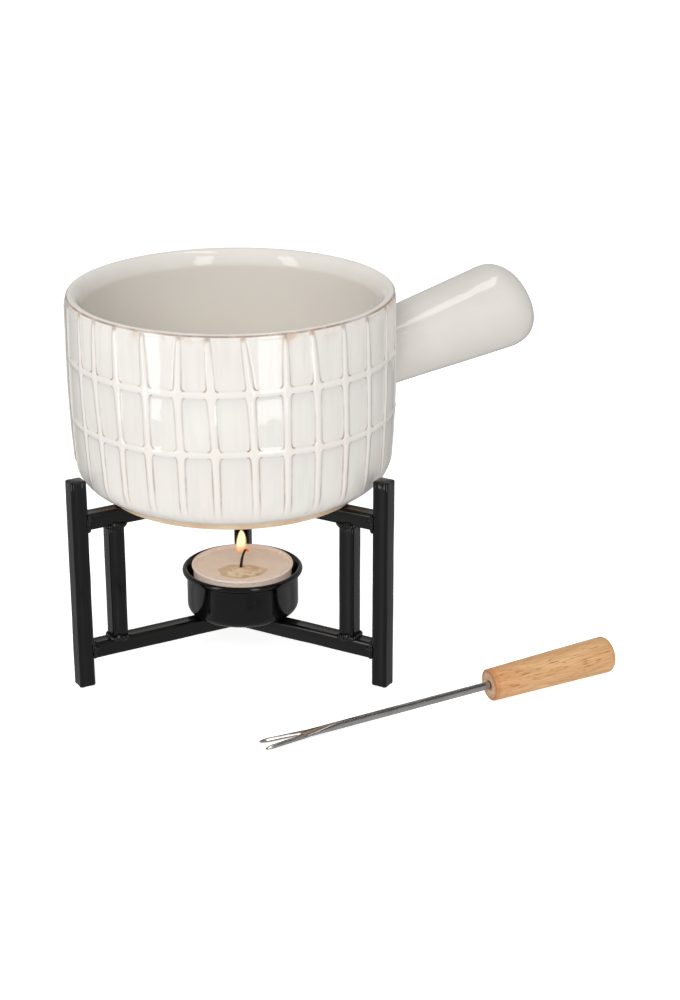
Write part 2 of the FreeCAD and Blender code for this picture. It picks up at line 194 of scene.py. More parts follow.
def piece(name, shape, materials, body, slot, replaced, sharp=40.0, attributes=None, zones=None, grain=None):
    """A finished piece in millimetres, riding on a body in place of its CAD nodes.

    Attributes are paint for its materials, zones say which material a face takes, and grain holds the
    points' places before the piece was turned, so that its grain and draw marks run along it.
    """
    mesh = mesh_of(name, shape)
    for material in materials:
        mesh.materials.append(material)
    for label, values in (attributes or {}).items():
        layer = mesh.attributes.new(label, "FLOAT", "POINT")
        layer.data.foreach_set("value", np.asarray(values, np.float32))
    if grain is not None:
        layer = mesh.attributes.new("grain", "FLOAT_VECTOR", "POINT")
        layer.data.foreach_set("vector", (np.asarray(grain) * MM).astype(np.float32).ravel())
    if zones is not None:
        mesh.polygons.foreach_set("material_index", zones)
    mesh.polygons.foreach_set("use_smooth", [True] * len(mesh.polygons))
    mesh.set_sharp_from_angle(angle=math.radians(sharp))
    mesh.update()
    made = put(name, mesh)
    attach(made, body)
    if replaced:
        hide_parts(*replaced)


def wobble(verts, size, amount, seed=0.0):
    """Shift points by smooth noise of the given feature size and amount, both in millimetres."""
    out = np.array(verts, float)
    for index, point in enumerate(out):
        spot = Vector(point) / size + Vector((seed, seed * 1.7, -seed))
        out[index] = point + np.array(noise.noise_vector(spot)) * amount
    return out


# ---------------------------------------------------------------- material helpers

class Nodes:
    """Short helpers for the nodes of a material or of the room."""

    def __init__(self, tree):
        self.tree = tree

    def node(self, kind, inputs=None, **settings):
        made = self.tree.nodes.new("ShaderNode" + kind)
        for label, value in settings.items():
            setattr(made, label, value)
        for label, value in (inputs or {}).items():
            self.feed(made.inputs[label], value)
        return made

    def feed(self, socket, value):
        if isinstance(value, bpy.types.NodeSocket):
            self.tree.links.new(value, socket)
        elif value is not None:
            socket.default_value = value

    def math(self, operation, a, b=None):
        return self.node("Math", {0: a, 1: b}, operation=operation).outputs[0]

    def times(self, a, b):
        return self.math("MULTIPLY", a, b)

    def band(self, value, start, end, low_value=0.0, high_value=1.0):
        """A smooth step of a value from start to end."""
        inputs = {"Value": value, "From Min": start, "From Max": end,
                  "To Min": low_value, "To Max": high_value}
        return self.node("MapRange", inputs, interpolation_type="SMOOTHSTEP").outputs["Result"]


class Look(Nodes):
    """A principled material with patterned inputs."""

    def __init__(self, name, **sockets):
        self.material = bpy.data.materials.new(name)
        self.material.use_nodes = True
        super().__init__(self.material.node_tree)
        self.shader = self.tree.nodes["Principled BSDF"]
        for label, value in sockets.items():
            self.shader.inputs[label.replace("_", " ")].default_value = value
        self.place = self.node("TexCoord").outputs["Object"]

    def set(self, label, value):
        self.feed(self.shader.inputs[label], value)

    def finish(self, base, roughness, normal):
        self.set("Base Color", base)
        self.set("Roughness", roughness)
        self.set("Normal", normal)
        return self.material

    def noise(self, size, stretch=(1, 1, 1), detail=3.0, roughness=0.5, distortion=0.0):
        """Noise from 0 to 1 whose features are size millimetres across."""
        spot = self.node("VectorMath", {0: self.place, 1: stretch}, operation="MULTIPLY").outputs[0]
        inputs = {"Vector": spot, "Scale": 1 / (size * MM), "Detail": detail,
                  "Roughness": roughness, "Distortion": distortion}
        return self.node("TexNoise", inputs).outputs["Fac"]

    def spread(self, pattern, low_value=0.0, high_value=1.0):
        """A noise spread over the whole range, since most of its values lie near the middle."""
        return self.band(pattern, 0.3, 0.7, low_value, high_value)

    def attribute(self, label):
        return self.node("Attribute", attribute_name=label).outputs["Fac"]

    def follow_grain(self):
        """Pattern the piece in its own directions, with x along it."""
        self.place = self.node("Attribute", attribute_name="grain").outputs["Vector"]

    def mix(self, factor, a, b):
        made = self.node("Mix", data_type="RGBA", blend_type="MIX")
        self.feed(made.inputs[0], factor)
        self.feed(made.inputs[6], colour(a))
        self.feed(made.inputs[7], colour(b))
        return made.outputs[2]

    def bump(self, height, distance, normal=None):
        """A normal from a height of 0 to 1, where distance is the depth in millimetres."""
        inputs = {"Height": height, "Distance": distance * MM, "Strength": 1.0, "Normal": normal}
        return self.node("Bump", inputs).outputs["Normal"]


def colour(value):
    """A display colour in 0..255 as linear light; sockets pass through."""
    if not isinstance(value, tuple):
        return value
    channels = [c / 255 for c in value]
    return tuple(c / 12.92 if c < 0.04045 else ((c + 0.055) / 1.055) ** 2.4 for c in channels) + (1.0,)


# ---------------------------------------------------------------- materials

GLAZE = (238, 234, 228)
# the pot's glaze made darker for the handle: painted shade
GLAZE_HANDLE_SHADED = (220, 215, 209)
GLAZE_CLOUD = (230, 225, 217)      # broad, faintly darker clouds in it
GLAZE_SPECK = (214, 204, 190)
GLAZE_SHADE = (223, 219, 215)      # painted shade beside and under the ribs, where the glaze also lies thick; also the streaks in the cells
GLAZE_WARM = (239, 234, 226)       # on the crests
GLAZE_INSIDE = ((230, 225, 216), (224, 218, 211))
GLAZE_LINE = (188, 181, 173)       # the seam where a rib meets its cell: gathered glaze and painted shade
GLAZE_BREAK = (168, 130, 98)       # where it thins over a sharp corner
GLAZE_TAN = (208, 178, 146)        # stains under the lip
GLAZE_LIP = ((172, 134, 102), (160, 144, 134))


def glaze_look(name, ribbed, base=GLAZE):
    """Glossy off-white glaze, thin and tan on edges; on the pot, grey beside the ribs: pooled glaze and
    painted shade.
    """
    look = Look(name, Roughness=0.1, IOR=1.45)
    cloud = look.noise(26, detail=4)
    fine = look.noise(3.5, detail=3)
    shade = look.mix(look.spread(cloud, 0.0, 0.6), base, GLAZE_CLOUD)
    if ribbed:
        shade = ribbed_shade(look, shade, cloud)
    shade = look.mix(look.band(fine, 0.72, 0.8, 0.0, 0.2), shade, GLAZE_SPECK)
    ripple = look.bump(look.noise(7, detail=1), 0.07)
    runs = look.bump(look.noise(1.6, stretch=(1, 1, 0.1), detail=2), 0.008, ripple)
    return look.finish(shade, look.spread(cloud, 0.03, 0.07), look.bump(fine, 0.005, runs))


def ribbed_shade(look, shade, cloud):
    """The pot's colouring: seams and grey beside the ribs, both pooled glaze with painted shade, tan corners,
    the lip's brown edge, the inside.
    """
    rib = look.attribute("rib")
    shade = look.mix(look.band(rib, -0.2, -1.0, 0.0, 0.5), shade, GLAZE_WARM)
    # Painted shade with pooled glaze: grey beside the ribs and under the level ribs.
    shade = look.mix(look.times(look.attribute("pool"), 0.85), shade, GLAZE_SHADE)
    streaks = look.band(look.noise(2.3, stretch=(1, 1, 0.08), detail=2), 0.42, 0.72, 0.0, 0.5)
    in_cell = look.times(look.band(rib, 0.1, 0.8), look.band(rib, 8.5, 7.5))
    shade = look.mix(look.times(streaks, in_cell), shade, GLAZE_SHADE)
    # The seams: gathered glaze with painted shade at the rib's foot, turning tan where the glaze breaks over
    # corners.
    seam = look.times(look.band(rib, -0.5, -0.05), look.band(rib, 0.55, 0.1))
    patch = look.spread(look.noise(6, detail=2), 0.55, 1.15)
    seam = look.times(seam, look.times(patch, look.attribute("seam")))
    tan = look.times(look.attribute("tan"), look.band(look.noise(9, detail=1), 0.3, 0.65, 0.5, 1.0))
    shade = look.mix(seam, shade, look.mix(tan, GLAZE_LINE, GLAZE_BREAK))
    below_lip = look.times(look.attribute("stain"), look.band(look.noise(8, detail=3), 0.5, 0.7))
    shade = look.mix(below_lip, shade, GLAZE_TAN)
    shade = look.mix(look.attribute("inside"), shade, look.mix(cloud, *GLAZE_INSIDE))
    worn = look.band(look.noise(9, detail=4, roughness=0.65), 0.35, 0.6, 0.55, 1.0)
    brown = look.mix(look.band(look.noise(15, detail=1), 0.4, 0.6), *GLAZE_LIP)
    return look.mix(look.times(look.attribute("edge"), worn), shade, brown)


def bare_clay_look():
    look = Look("bare_clay", Roughness=0.85)
    grain = look.noise(0.7, detail=5, roughness=0.7)
    stain = look.noise(12, detail=3)
    base = look.mix(look.band(stain, 0.35, 0.65), (232, 210, 182), (221, 192, 158))
    base = look.mix(look.band(grain, 0.45, 0.75, 0.0, 0.5), base, (203, 170, 134))
    return look.finish(base, look.spread(grain, 0.75, 0.95), look.bump(grain, 0.06))


def black_steel_look():
    """Glossy black paint over drawn steel: faint long marks under a little orange peel."""
    look = Look("black_paint", Roughness=0.14, Specular_IOR_Level=0.34)
    look.follow_grain()
    peel = look.noise(0.9, detail=2, roughness=0.6)
    marks = look.noise(1.4, stretch=(0.06, 1, 1), detail=3)
    base = look.mix(look.spread(look.noise(14, detail=3)), (8, 8, 8), (12, 12, 12))
    return look.finish(base, look.spread(marks, 0.09, 0.18), look.bump(peel, 0.003, look.bump(marks, 0.014)))


def clear_plastic_look():
    # The faint warm emission is painted glow: candlelight shining through the plastic.
    look = Look("clear_cup_plastic", Roughness=0.25, IOR=1.4, Transmission_Weight=0.1,
                Emission_Color=colour((255, 226, 204)), Emission_Strength=0.12)
    haze = look.noise(6, detail=3)
    base = look.mix(haze, (243, 233, 226), (236, 224, 216))
    return look.finish(base, look.spread(haze, 0.2, 0.35), look.bump(look.noise(2.5, detail=2), 0.02))


def wax_look():
    """Pale wax that glows a little in the flame, with a warm pool round the wick, darker at its edge."""
    look = Look("candle_wax", Roughness=0.45, Subsurface_Weight=0.3, Subsurface_Scale=0.004,
                Subsurface_Radius=(1.0, 0.7, 0.45), IOR=1.44, Emission_Strength=0.14)
    melt = look.attribute("melt")
    cloud = look.noise(7, detail=4, roughness=0.6)
    solid = look.mix(look.spread(cloud), (242, 231, 221), (235, 222, 210))
    blobs = look.band(look.noise(3.4, detail=1), 0.42, 0.56)
    pool = look.mix(blobs, (212, 188, 150), (240, 228, 208))
    rim = look.times(look.band(melt, 0.0, 0.22), look.band(melt, 0.75, 0.3))
    shade = look.mix(look.band(melt, 0.1, 0.5), solid, pool)
    shade = look.mix(look.times(rim, 0.75), shade, (198, 168, 126))
    look.set("Emission Color", look.mix(look.band(melt, 0.1, 0.6), (236, 214, 196), (230, 200, 158)))
    return look.finish(shade, look.band(melt, 0.1, 0.4, 0.5, 0.14), look.bump(cloud, 0.05))


def wick_look():
    """Burnt braided cotton, black at the curl and glowing at its very end."""
    look = Look("burnt_wick", Roughness=0.95)
    braid = look.node("TexWave", {"Vector": look.place, "Scale": 900.0, "Distortion": 2.0},
                      bands_direction="DIAGONAL").outputs["Fac"]
    ember = look.attribute("ember")
    char = look.mix(look.band(braid, 0.2, 0.8), (22, 17, 14), (58, 44, 34))
    look.set("Emission Color", look.mix(ember, (0, 0, 0), (255, 74, 30)))
    look.set("Emission Strength", look.times(ember, 1.4))
    return look.finish(look.mix(ember, char, (150, 52, 30)), None, look.bump(braid, 0.1))


def flame_look():
    """A clear flame: a white-yellow core in a thin orange mantle, both clear at the foot."""
    look = Look("candle_flame", Roughness=1.0)
    core = look.attribute("core")
    flicker = look.times(look.math("SUBTRACT", look.noise(4, detail=1), 0.5), 0.12)
    level = look.math("ADD", look.attribute("height"), flicker)
    mantle = look.mix(look.band(level, 0.1, 0.7), (255, 140, 58), (255, 196, 112))
    body = look.mix(look.band(level, 0.2, 0.5), (255, 196, 120), (255, 247, 214))
    glow = look.node("Emission", {"Color": look.mix(core, mantle, body), "Strength": 1.3})
    clear = look.node("BsdfTransparent", {"Color": (1, 1, 1, 1)})
    most = look.math("ADD", look.times(core, 0.62), 0.3)
    solid = look.times(most, look.band(level, 0.04, 0.42))
    blend = look.node("MixShader", {0: solid, 1: clear.outputs[0], 2: glow.outputs[0]})
    look.feed(look.tree.nodes["Material Output"].inputs["Surface"], blend.outputs[0])
    return look.material


def tinplate_look():
    look = Look("sustainer_tinplate", Metallic=1.0, Roughness=0.3)
    marks = look.noise(1.2, detail=3)
    base = look.mix(marks, (200, 200, 202), (168, 168, 172))
    return look.finish(base, look.spread(marks, 0.22, 0.45), look.bump(marks, 0.01))


def fork_steel_look():
    """Polished drawn steel with long draw marks, which run along the rod."""
    look = Look("fork_steel", Metallic=1.0, Roughness=0.16)
    look.follow_grain()
    streaks = look.noise(0.35, stretch=(0.03, 1, 1), detail=2)
    base = look.mix(look.spread(look.noise(9, detail=3)), (198, 197, 195), (180, 178, 175))
    return look.finish(base, look.spread(streaks, 0.12, 0.24), look.bump(streaks, 0.005))


def wood_look():
    """Oiled beech: broad soft bands, fine long grain and short brown flecks; rings on the end."""
    look = Look("fork_beech", Roughness=0.5, Specular_IOR_Level=0.35)
    look.follow_grain()
    bands = look.noise(3.0, stretch=(0.1, 1, 1), detail=2, distortion=0.3)
    grain = look.noise(0.4, stretch=(0.05, 1, 1), detail=2)
    flecks = look.noise(0.46, stretch=(0.09, 1, 1), detail=1)
    clusters = look.noise(5.0, stretch=(0.35, 1, 1), detail=1)
    base = look.mix(look.band(bands, 0.35, 0.65), (231, 187, 138), (218, 168, 118))
    base = look.mix(look.band(grain, 0.42, 0.68, 0.0, 0.55), base, (194, 142, 90))
    level = look.math("ADD", flecks, look.times(look.math("SUBTRACT", clusters, 0.5), 0.3))
    base = look.mix(look.band(level, 0.63, 0.7, 0.0, 0.85), base, (156, 102, 58))
    base = look.mix(look.times(look.attribute("warm"), 0.45), base, (214, 148, 92))
    mottle = look.band(look.noise(0.9, detail=2), 0.35, 0.65)
    base = look.mix(look.attribute("end_grain"), base, look.mix(mottle, (222, 190, 156), (188, 148, 112)))
    base = look.mix(look.times(look.attribute("ring"), 0.85), base, (178, 108, 62))
    collar = look.mix(look.band(look.noise(0.8, detail=1), 0.4, 0.6), (172, 146, 122), (138, 114, 94))
    base = look.mix(look.attribute("bore"), base, collar)
    return look.finish(base, look.spread(grain, 0.42, 0.62), look.bump(grain, 0.02, look.bump(level, 0.03)))


# ---------------------------------------------------------------- pot

RIB_COUNT = 30
RIB_HEIGHT = 0.55
COURSE_HEIGHTS = (56.1, 33.0)              # two level ribs, above the pot's seat
COURSE_HALF = (1.4, 1.35)                  # their half widths
# Height above the seat and a rib's half width there.
RIB_WIDTHS = ((8.0, 1.3), (30.0, 1.45), (36.0, 1.42), (45.0, 1.35), (54.0, 1.6), (57.5, 1.42),
              (66.0, 1.3), (72.0, 1.05), (77.0, 0.75))
LIP_START, LIP_FULL = 75.4, 77.0           # the cells run out into the lip
FADE_START, FADE_END = 14.5, 6.5           # the ribs fade out towards the foot
CELL_TOP_FLARE = (0.75, 2.6)               # how a rib spreads under a level rib: sideways, upwards
CELL_FOOT_FLARE = (0.75, 1.8)              # and above one
RIB_CREST, RIB_TOE = 1.5, 0.9              # a rib's rounding, inside and outside its seam
COURSE_WAVES = (((0.3, 2, 0.4), (0.18, 5, 0.0)), ((0.3, 3, 1.2), (0.15, 7, 0.5)))   # size, count, phase
RIB_COLUMNS = (0.0, 0.45, 0.8, 1.1, 1.35, 1.6, 1.85, 2.15, 2.6, 3.3)     # mesh columns beside a rib
CELL_COLUMNS = (0.35, 0.5, 0.65)                                         # and as shares across a cell
COURSE_ROWS = (0.0, 0.5, 0.9, 1.2, 1.45, 1.7, 2.0, 2.5, 3.2)             # mesh rows beside a level rib
PLAIN_ROWS = ((2.6, 8.0, 7), (9.2, 28.2, 11), (37.4, 51.4, 9), (60.4, 72.8, 8))   # from, to, how many
LIP_ROWS_START, LIP_ROWS_GAP = 73.4, 0.4
NO_COURSE = 99.0                           # further off than any level rib shows
WAVE_REACH = 9.0                           # the rows follow a level rib's waves about this far
SIDE_INSET, SIDE_SWELL = 0.12, 0.6         # the thrown wall's unevenness, kept inside the full radius
# The front ribs lean and wander as pressed by hand: degrees from the front at the rim, at the two
# level ribs and at the foot.
FRONT_RIBS = (
    (-59.8, -59.4, -58.6, -58.2), (-49.7, -50.0, -48.2, -47.5), (-39.2, -38.8, -37.6, -37.4),
    (-27.7, -26.9, -26.5, -26.2), (-14.4, -15.3, -14.7, -14.6), (-4.9, -4.0, -3.0, -2.7),
    (6.6, 8.9, 10.0, 10.5), (20.6, 21.0, 21.3, 21.5), (30.2, 32.0, 32.7, 32.6),
    (42.9, 43.6, 44.6, 44.4), (54.8, 55.8, 56.7, 56.0), (69.2, 68.8, 68.6, 68.4),
    (83.0, 82.4, 82.8, 82.6),
)
FOOT_RADIUS = 49.6
FOOT_WIDTH, FOOT_RECESS = 4.6, 1.7
# The pot's outside as (radius, height above the seat), up to where its lip rounds over.
OUTSIDE = ((FOOT_RADIUS + 1.8, 2.6), (54.8, 4.2), (58.6, 7.4), (60.8, 11.8), (61.6, 19.0), (62.2, 32.0),
           (POT_RADIUS, 46.0), (POT_RADIUS, 72.6))
POT_TOP = RIM_Z - SEAT_Z
LIP_CREST = 60.4
LIP_OUTER_DEPTH, LIP_INNER_DEPTH = 5.5, 7.6
INNER_RADIUS = 56.3
FLOOR_HEIGHT, FLOOR_CORNER = 7.2, 16.0
PLAIN_GAP = 9.0              # between the rows of the inside and the foot
BARE_HEIGHT = 4.0            # the glaze stops short of the foot
RIBS_END = 77.0
RIM_DIP = 0.7                # degrees that the hand-turned rim dips towards the front
DIP_START, DIP_FULL = 15.0, 75.0
LOWEST_BEARING = 9.0         # height of the ribs' bearing at the foot


def rib_azimuths():
    """Degrees from the front of every rib at the four levels, the hidden ones spaced by chance."""
    chance = np.random.default_rng(7)
    ribs = list(FRONT_RIBS)
    first, last = FRONT_RIBS[0][0], FRONT_RIBS[-1][0]
    hidden = RIB_COUNT - len(FRONT_RIBS)
    step = (360 - (last - first)) / (hidden + 1)
    for number in range(hidden):
        start = last + step * (number + 1) + chance.uniform(-1.2, 1.2)
        drift = chance.uniform(-0.7, 0.9, 3)
        ribs.append((start, start + drift[0], start + drift[0] + drift[1], start + drift.sum()))
    return np.array(ribs)


def hermite(points, heights):
    """Radius at given heights on a smooth curve through (radius, height) points."""
    r, z = np.array(points).T
    slope = np.gradient(r, z)
    slope[-1] = 0.0
    slope[-2] = 0.0
    spot = np.clip(np.searchsorted(z, heights) - 1, 0, len(z) - 2)
    gap = z[spot + 1] - z[spot]
    t = np.clip((heights - z[spot]) / gap, 0, 1)
    return ((2 * t ** 3 - 3 * t ** 2 + 1) * r[spot] + (t ** 3 - 2 * t ** 2 + t) * gap * slope[spot]
            + (3 * t ** 2 - 2 * t ** 3) * r[spot + 1] + (t ** 3 - t ** 2) * gap * slope[spot + 1])


def smooth(value, start, end):
    t = np.clip((value - start) / (end - start), 0, 1)
    return t * t * (3 - 2 * t)


def outer_radius(height):
    """Radius of the plain outside at a height above the seat."""
    above = height - (POT_TOP - LIP_OUTER_DEPTH)
    if above <= 0:
        return float(hermite(OUTSIDE, np.array([height]))[0])
    return LIP_CREST + (POT_RADIUS - LIP_CREST) * math.sqrt(1 - min(above / LIP_OUTER_DEPTH, 1.0) ** 2)


def dipped(verts):
    """The pot's points with its rim a little out of level, which dies away towards the foot."""
    out = np.array(verts, float)
    out[:, 2] += math.tan(math.radians(RIM_DIP)) * out[:, 1] * smooth(out[:, 2], DIP_START, DIP_FULL)
    return out


def pot_columns():
    """For every column: the rib at its left, its share of the way to the next, and degrees past that."""
    near = np.degrees(np.array(RIB_COLUMNS) / POT_RADIUS)
    columns = []
    for rib in range(RIB_COUNT):
        columns += [(rib, 0.0, offset) for offset in near]
        columns += [(rib, share, 0.0) for share in CELL_COLUMNS]
        columns += [(rib, 1.0, -offset) for offset in near[:0:-1]]
    return np.array(columns)


def column_azimuths(ribs, columns, height):
    """Azimuth of every column at a height, and its distance in degrees from the nearer rib."""
    levels = (POT_TOP, *COURSE_HEIGHTS, LOWEST_BEARING)
    at = [np.interp(height, levels[::-1], rib[::-1]) for rib in ribs]
    at = np.array(at + [at[0] + 360])
    rib = columns[:, 0].astype(int)
    start, end = at[rib], at[rib + 1]
    share, offset = columns[:, 1], columns[:, 2]
    here = np.where(share == 1.0, end, start + (end - start) * share) + offset
    return here, np.minimum(here - start, end - here)


def course_wave(azimuths, course):
    """How far a level rib strays from its height, as pressed by hand."""
    turn = np.radians(azimuths)
    return sum(size * np.sin(count * turn + phase) for size, count, phase in COURSE_WAVES[course])


def pot_heights():
    """Heights of the side's rows above the seat, close together at the level ribs and the lip."""
    heights = set()
    for course in COURSE_HEIGHTS:
        heights |= {round(course + sign * step, 3) for step in COURSE_ROWS for sign in (-1, 1)}
    for start, end, count in PLAIN_ROWS:
        heights |= {round(float(z), 3) for z in np.linspace(start, end, count)}
    heights |= {float(z) for z in np.arange(LIP_ROWS_START, RIBS_END + 0.01, LIP_ROWS_GAP).round(1)}
    return sorted(heights)


def flare(distance, size):
    """How much wider a rib is at a distance from a level rib, on a quarter ellipse."""
    share = np.clip(1 - distance / size[1], 0, 1)
    return size[0] * (1 - np.sqrt(1 - share ** 2))


def cell_values(azimuths, nearest, height, radius):
    """For each column at a height: distance in millimetres into its cell, moved height, and paint."""
    widths = np.array(RIB_WIDTHS)
    side = np.radians(nearest) * radius - np.interp(height, widths[:, 0], widths[:, 1])
    upper, lower = COURSE_HEIGHTS
    if height > upper:
        to_top, to_foot = NO_COURSE, height - upper - COURSE_HALF[0]
    elif height > lower:
        to_top, to_foot = upper - COURSE_HALF[0] - height, height - lower - COURSE_HALF[1]
    else:
        to_top, to_foot = lower - COURSE_HALF[1] - height, NO_COURSE
    level = min(to_top, to_foot)
    side = side - flare(max(to_top, 0.0), CELL_TOP_FLARE) - flare(max(to_foot, 0.0), CELL_FOOT_FLARE)
    distance = np.minimum(side, level)
    moved = np.full(len(side), height)
    for course, place in enumerate(COURSE_HEIGHTS):
        moved = moved + course_wave(azimuths, course) * math.exp(-((height - place) / WAVE_REACH) ** 2)
    # The seams, gathered glaze with painted shade, show along the upright ribs, most of all at a cell's foot
    # and top and low on the pot.
    upright = smooth(side, 1.0, 0.25)
    at_foot, at_top = math.exp(-max(to_foot, 0.0) / 1.7), math.exp(-max(to_top, 0.0) / 0.9)
    deep = float(smooth(height, lower, lower - 6.0))
    seam = upright * (0.5 + 0.5 * at_foot + 0.4 * at_top) + (1 - upright) * 0.1
    seam = seam * (1 + 0.45 * deep)
    paint = {
        "rib": distance,
        "seam": seam,
        "tan": np.clip(upright * (math.exp(-max(to_foot, 0.0) / 3.0) + 0.5 * at_top + 0.4 * deep) + 0.06,
                       0, 1),
        # pool: grey beside the ribs and under the level ribs, painted shade with pooled glaze.
        "pool": np.clip(np.exp(-np.maximum(distance, 0) / 1.2) * 0.5 * (distance > 0)
                        + math.exp(-max(to_top, 0.0) / 3.5) * smooth(distance, -0.3, 0.6), 0, 1),
    }
    return distance, moved, paint


def pot_side():
    """Rings of the ribbed side with their paint, a value for every point."""
    ribs = rib_azimuths()
    columns = pot_columns()
    rows = []
    for height in pot_heights():
        radius = outer_radius(height)
        azimuths, nearest = column_azimuths(ribs, columns, height)
        distance, moved, paint = cell_values(azimuths, nearest, height, radius)
        fade = float(smooth(height, FADE_END, FADE_START))
        relief = fade * float(smooth(height, LIP_FULL, LIP_START))
        sunk = RIB_HEIGHT * smooth(distance, -RIB_CREST, RIB_TOE)
        turn = np.radians(azimuths - 90)
        swell = 0.12 * np.sin(3 * turn + height / 17) + 0.08 * np.sin(7 * turn - height / 11)
        out = radius - SIDE_INSET + swell * SIDE_SWELL - sunk * relief
        paint["seam"] = paint["seam"] * fade
        paint["pool"] = paint["pool"] * relief
        below = RIBS_END - height
        across = np.radians(nearest) * radius
        paint["edge"] = 0.8 * math.exp(-((below - 0.4) / 1.0) ** 2) * np.exp(-(across / 0.9) ** 2)
        paint["stain"] = np.full(len(turn), 0.75 * math.exp(-(below / 2.6) ** 2))
        rows.append((np.stack([out * np.cos(turn), out * np.sin(turn), moved], 1), paint))
    return rows


PLAIN_PAINT = {"rib": 9.0, "seam": 0.0, "tan": 0.0, "pool": 0.0, "edge": 0.0, "stain": 0.0, "inside": 0.0}


def plain_rows(outline, turn, paints):
    """Rings of an unribbed stretch of (radius, height), each with its own paint."""
    return [(ring, {**PLAIN_PAINT, **paint}) for ring, paint in zip(lathe_rings(outline, turn), paints)]


def lip_outline():
    """The lip over its crest and down its inner slope, with paint for each point."""
    outline, paints = [], []
    start = math.degrees(math.asin(1 - (POT_TOP - RIBS_END) / LIP_OUTER_DEPTH))
    for angle in np.linspace(start, 90.0, 10)[1:]:
        turn = math.radians(angle)
        outline.append((LIP_CREST + (POT_RADIUS - LIP_CREST) * math.cos(turn),
                        POT_TOP - LIP_OUTER_DEPTH * (1 - math.sin(turn))))
        paints.append({"edge": math.exp(-((angle - 62) / 10.0) ** 2), "stain": 0.6 * (angle < 60)})
    for angle in (9, 18, 28, 39, 50, 60, 68, 74, 79, 84):
        turn = math.radians(angle)
        outline.append((LIP_CREST - (LIP_CREST - INNER_RADIUS) * math.sin(turn),
                        POT_TOP - LIP_INNER_DEPTH * (1 - math.cos(turn))))
        paints.append({"inside": float(smooth(angle, 74, 84))})
    return outline, paints


def make_pot(glaze, clay):
    side = pot_side()
    side_turn = np.arctan2(side[-1][0][:, 1], side[-1][0][:, 0])
    foot_turn = np.arctan2(side[0][0][:, 1], side[0][0][:, 0])
    ring = FOOT_RADIUS - FOOT_WIDTH
    foot = dense(filleted([(2.0, FOOT_RECESS, 0), (ring - 0.8, FOOT_RECESS, 0.8), (ring, 0.0, 0.6),
                           (FOOT_RADIUS, 0.0, 0.9), (FOOT_RADIUS + 0.6, 2.5, 0.4),
                           (FOOT_RADIUS + 1.5, 2.6, 0)], 4), PLAIN_GAP)
    lip, lip_paint = lip_outline()
    inside = dense(filleted([(INNER_RADIUS, POT_TOP - LIP_INNER_DEPTH, 0),
                             (INNER_RADIUS - 0.5, FLOOR_HEIGHT, FLOOR_CORNER),
                             (2.0, FLOOR_HEIGHT, 0)], 9), PLAIN_GAP)
    rows = plain_rows(foot, foot_turn, [{}] * len(foot))
    rows += [(ring, {**PLAIN_PAINT, **paint}) for ring, paint in side]
    rows += plain_rows(lip, side_turn, lip_paint)
    rows += plain_rows(inside, side_turn, [{"inside": 1.0}] * len(inside))
    verts, faces = skin([ring for ring, _ in rows])
    count = len(side_turn)
    attributes = {label: np.concatenate([np.full(count, 1.0) * paint[label] for _, paint in rows]
                                        + [[0.0, 1.0 if label == "inside" else 0.0]])
                  for label in PLAIN_PAINT}
    bare = len(foot) + sum(ring[:, 2].mean() < BARE_HEIGHT for ring, _ in side)
    zones = [1] * (bare * count) + [0] * ((len(rows) - 1 - bare) * count)
    zones += [1] * count + [0] * count
    verts = lifted(dipped(verts), AXIS, SEAT_Z)
    piece("pot", (verts, faces), [glaze, clay], "pot", "white_glaze", ["pot_body"],
          sharp=60.0, attributes=attributes, zones=zones)


HANDLE_AZIMUTH, HANDLE_RISE = 22.0, 14.4
HANDLE_AXIS_Z = 101.5
HANDLE_LENGTH = 125.9
HANDLE_ROOT = 61.0           # it starts inside the pot's wall
HANDLE_ROOT_RADIUS, HANDLE_END_RADIUS = 13.85, 17.35
HANDLE_FULL = 113.0          # where it reaches its end's width
HANDLE_LEAN, LEAN_START = 0.12, 103.0
SHEAR_REACH = 20.0           # the root's slant, to follow the wall, dies away over this


def make_pot_handle(glaze):
    """A round horn that widens to a domed end, whose upper shoulder leans back."""
    outline = filleted([(10.5, HANDLE_ROOT, 0), (HANDLE_ROOT_RADIUS, HANDLE_ROOT, 0.8),
                        (HANDLE_END_RADIUS, HANDLE_FULL, 40.0),
                        (HANDLE_END_RADIUS - 0.2, HANDLE_LENGTH, 11.5), (3.0, HANDLE_LENGTH + 0.3, 0)], 14)
    verts, faces = lathe(outline, 3.0, 96)
    lean = smooth(verts[:, 2], LEAN_START, HANDLE_LENGTH)
    root = smooth(verts[:, 2], HANDLE_ROOT + SHEAR_REACH, HANDLE_ROOT) * math.tan(math.radians(HANDLE_RISE))
    shifted = verts[:, 2] + (root - HANDLE_LEAN * lean) * verts[:, 0]
    along = np.stack([shifted, verts[:, 1], verts[:, 0]], 1)
    faces = [face[::-1] for face in faces]
    along = wobble(along, 30.0, 0.25, 3.0)
    verts = placed(along, (AXIS.x, AXIS.y, HANDLE_AXIS_Z), HANDLE_AZIMUTH, HANDLE_RISE)
    piece("handle_of_pot", (verts, faces), [glaze], "pot", "white_glaze", ["pot_handle"], sharp=60.0)


# ---------------------------------------------------------------- warmer

EDGE_ROUND = 1.15
FACE_HOLLOW = 0.13           # rolled faces are very slightly dished
LEG_BEVELS, STRUT_BEVELS = (0.5, 0.5), (1.0, 0.7)
SEAM_LUMPS = 4
LEG_SEAM, STRUT_SEAM, CROSS_SEAM = 0.95, 1.15, 1.1      # radii of the weld beads
STRUT_BLOB, LEG_BLOB = (1.9, 0.95, 1.45), (1.4, 0.8, 1.15)
WELD_VOXEL = 0.24
HOLDER_WALL, HOLDER_CURL = 0.8, 1.1


def towards(angle):
    return np.array([math.cos(angle), math.sin(angle)])


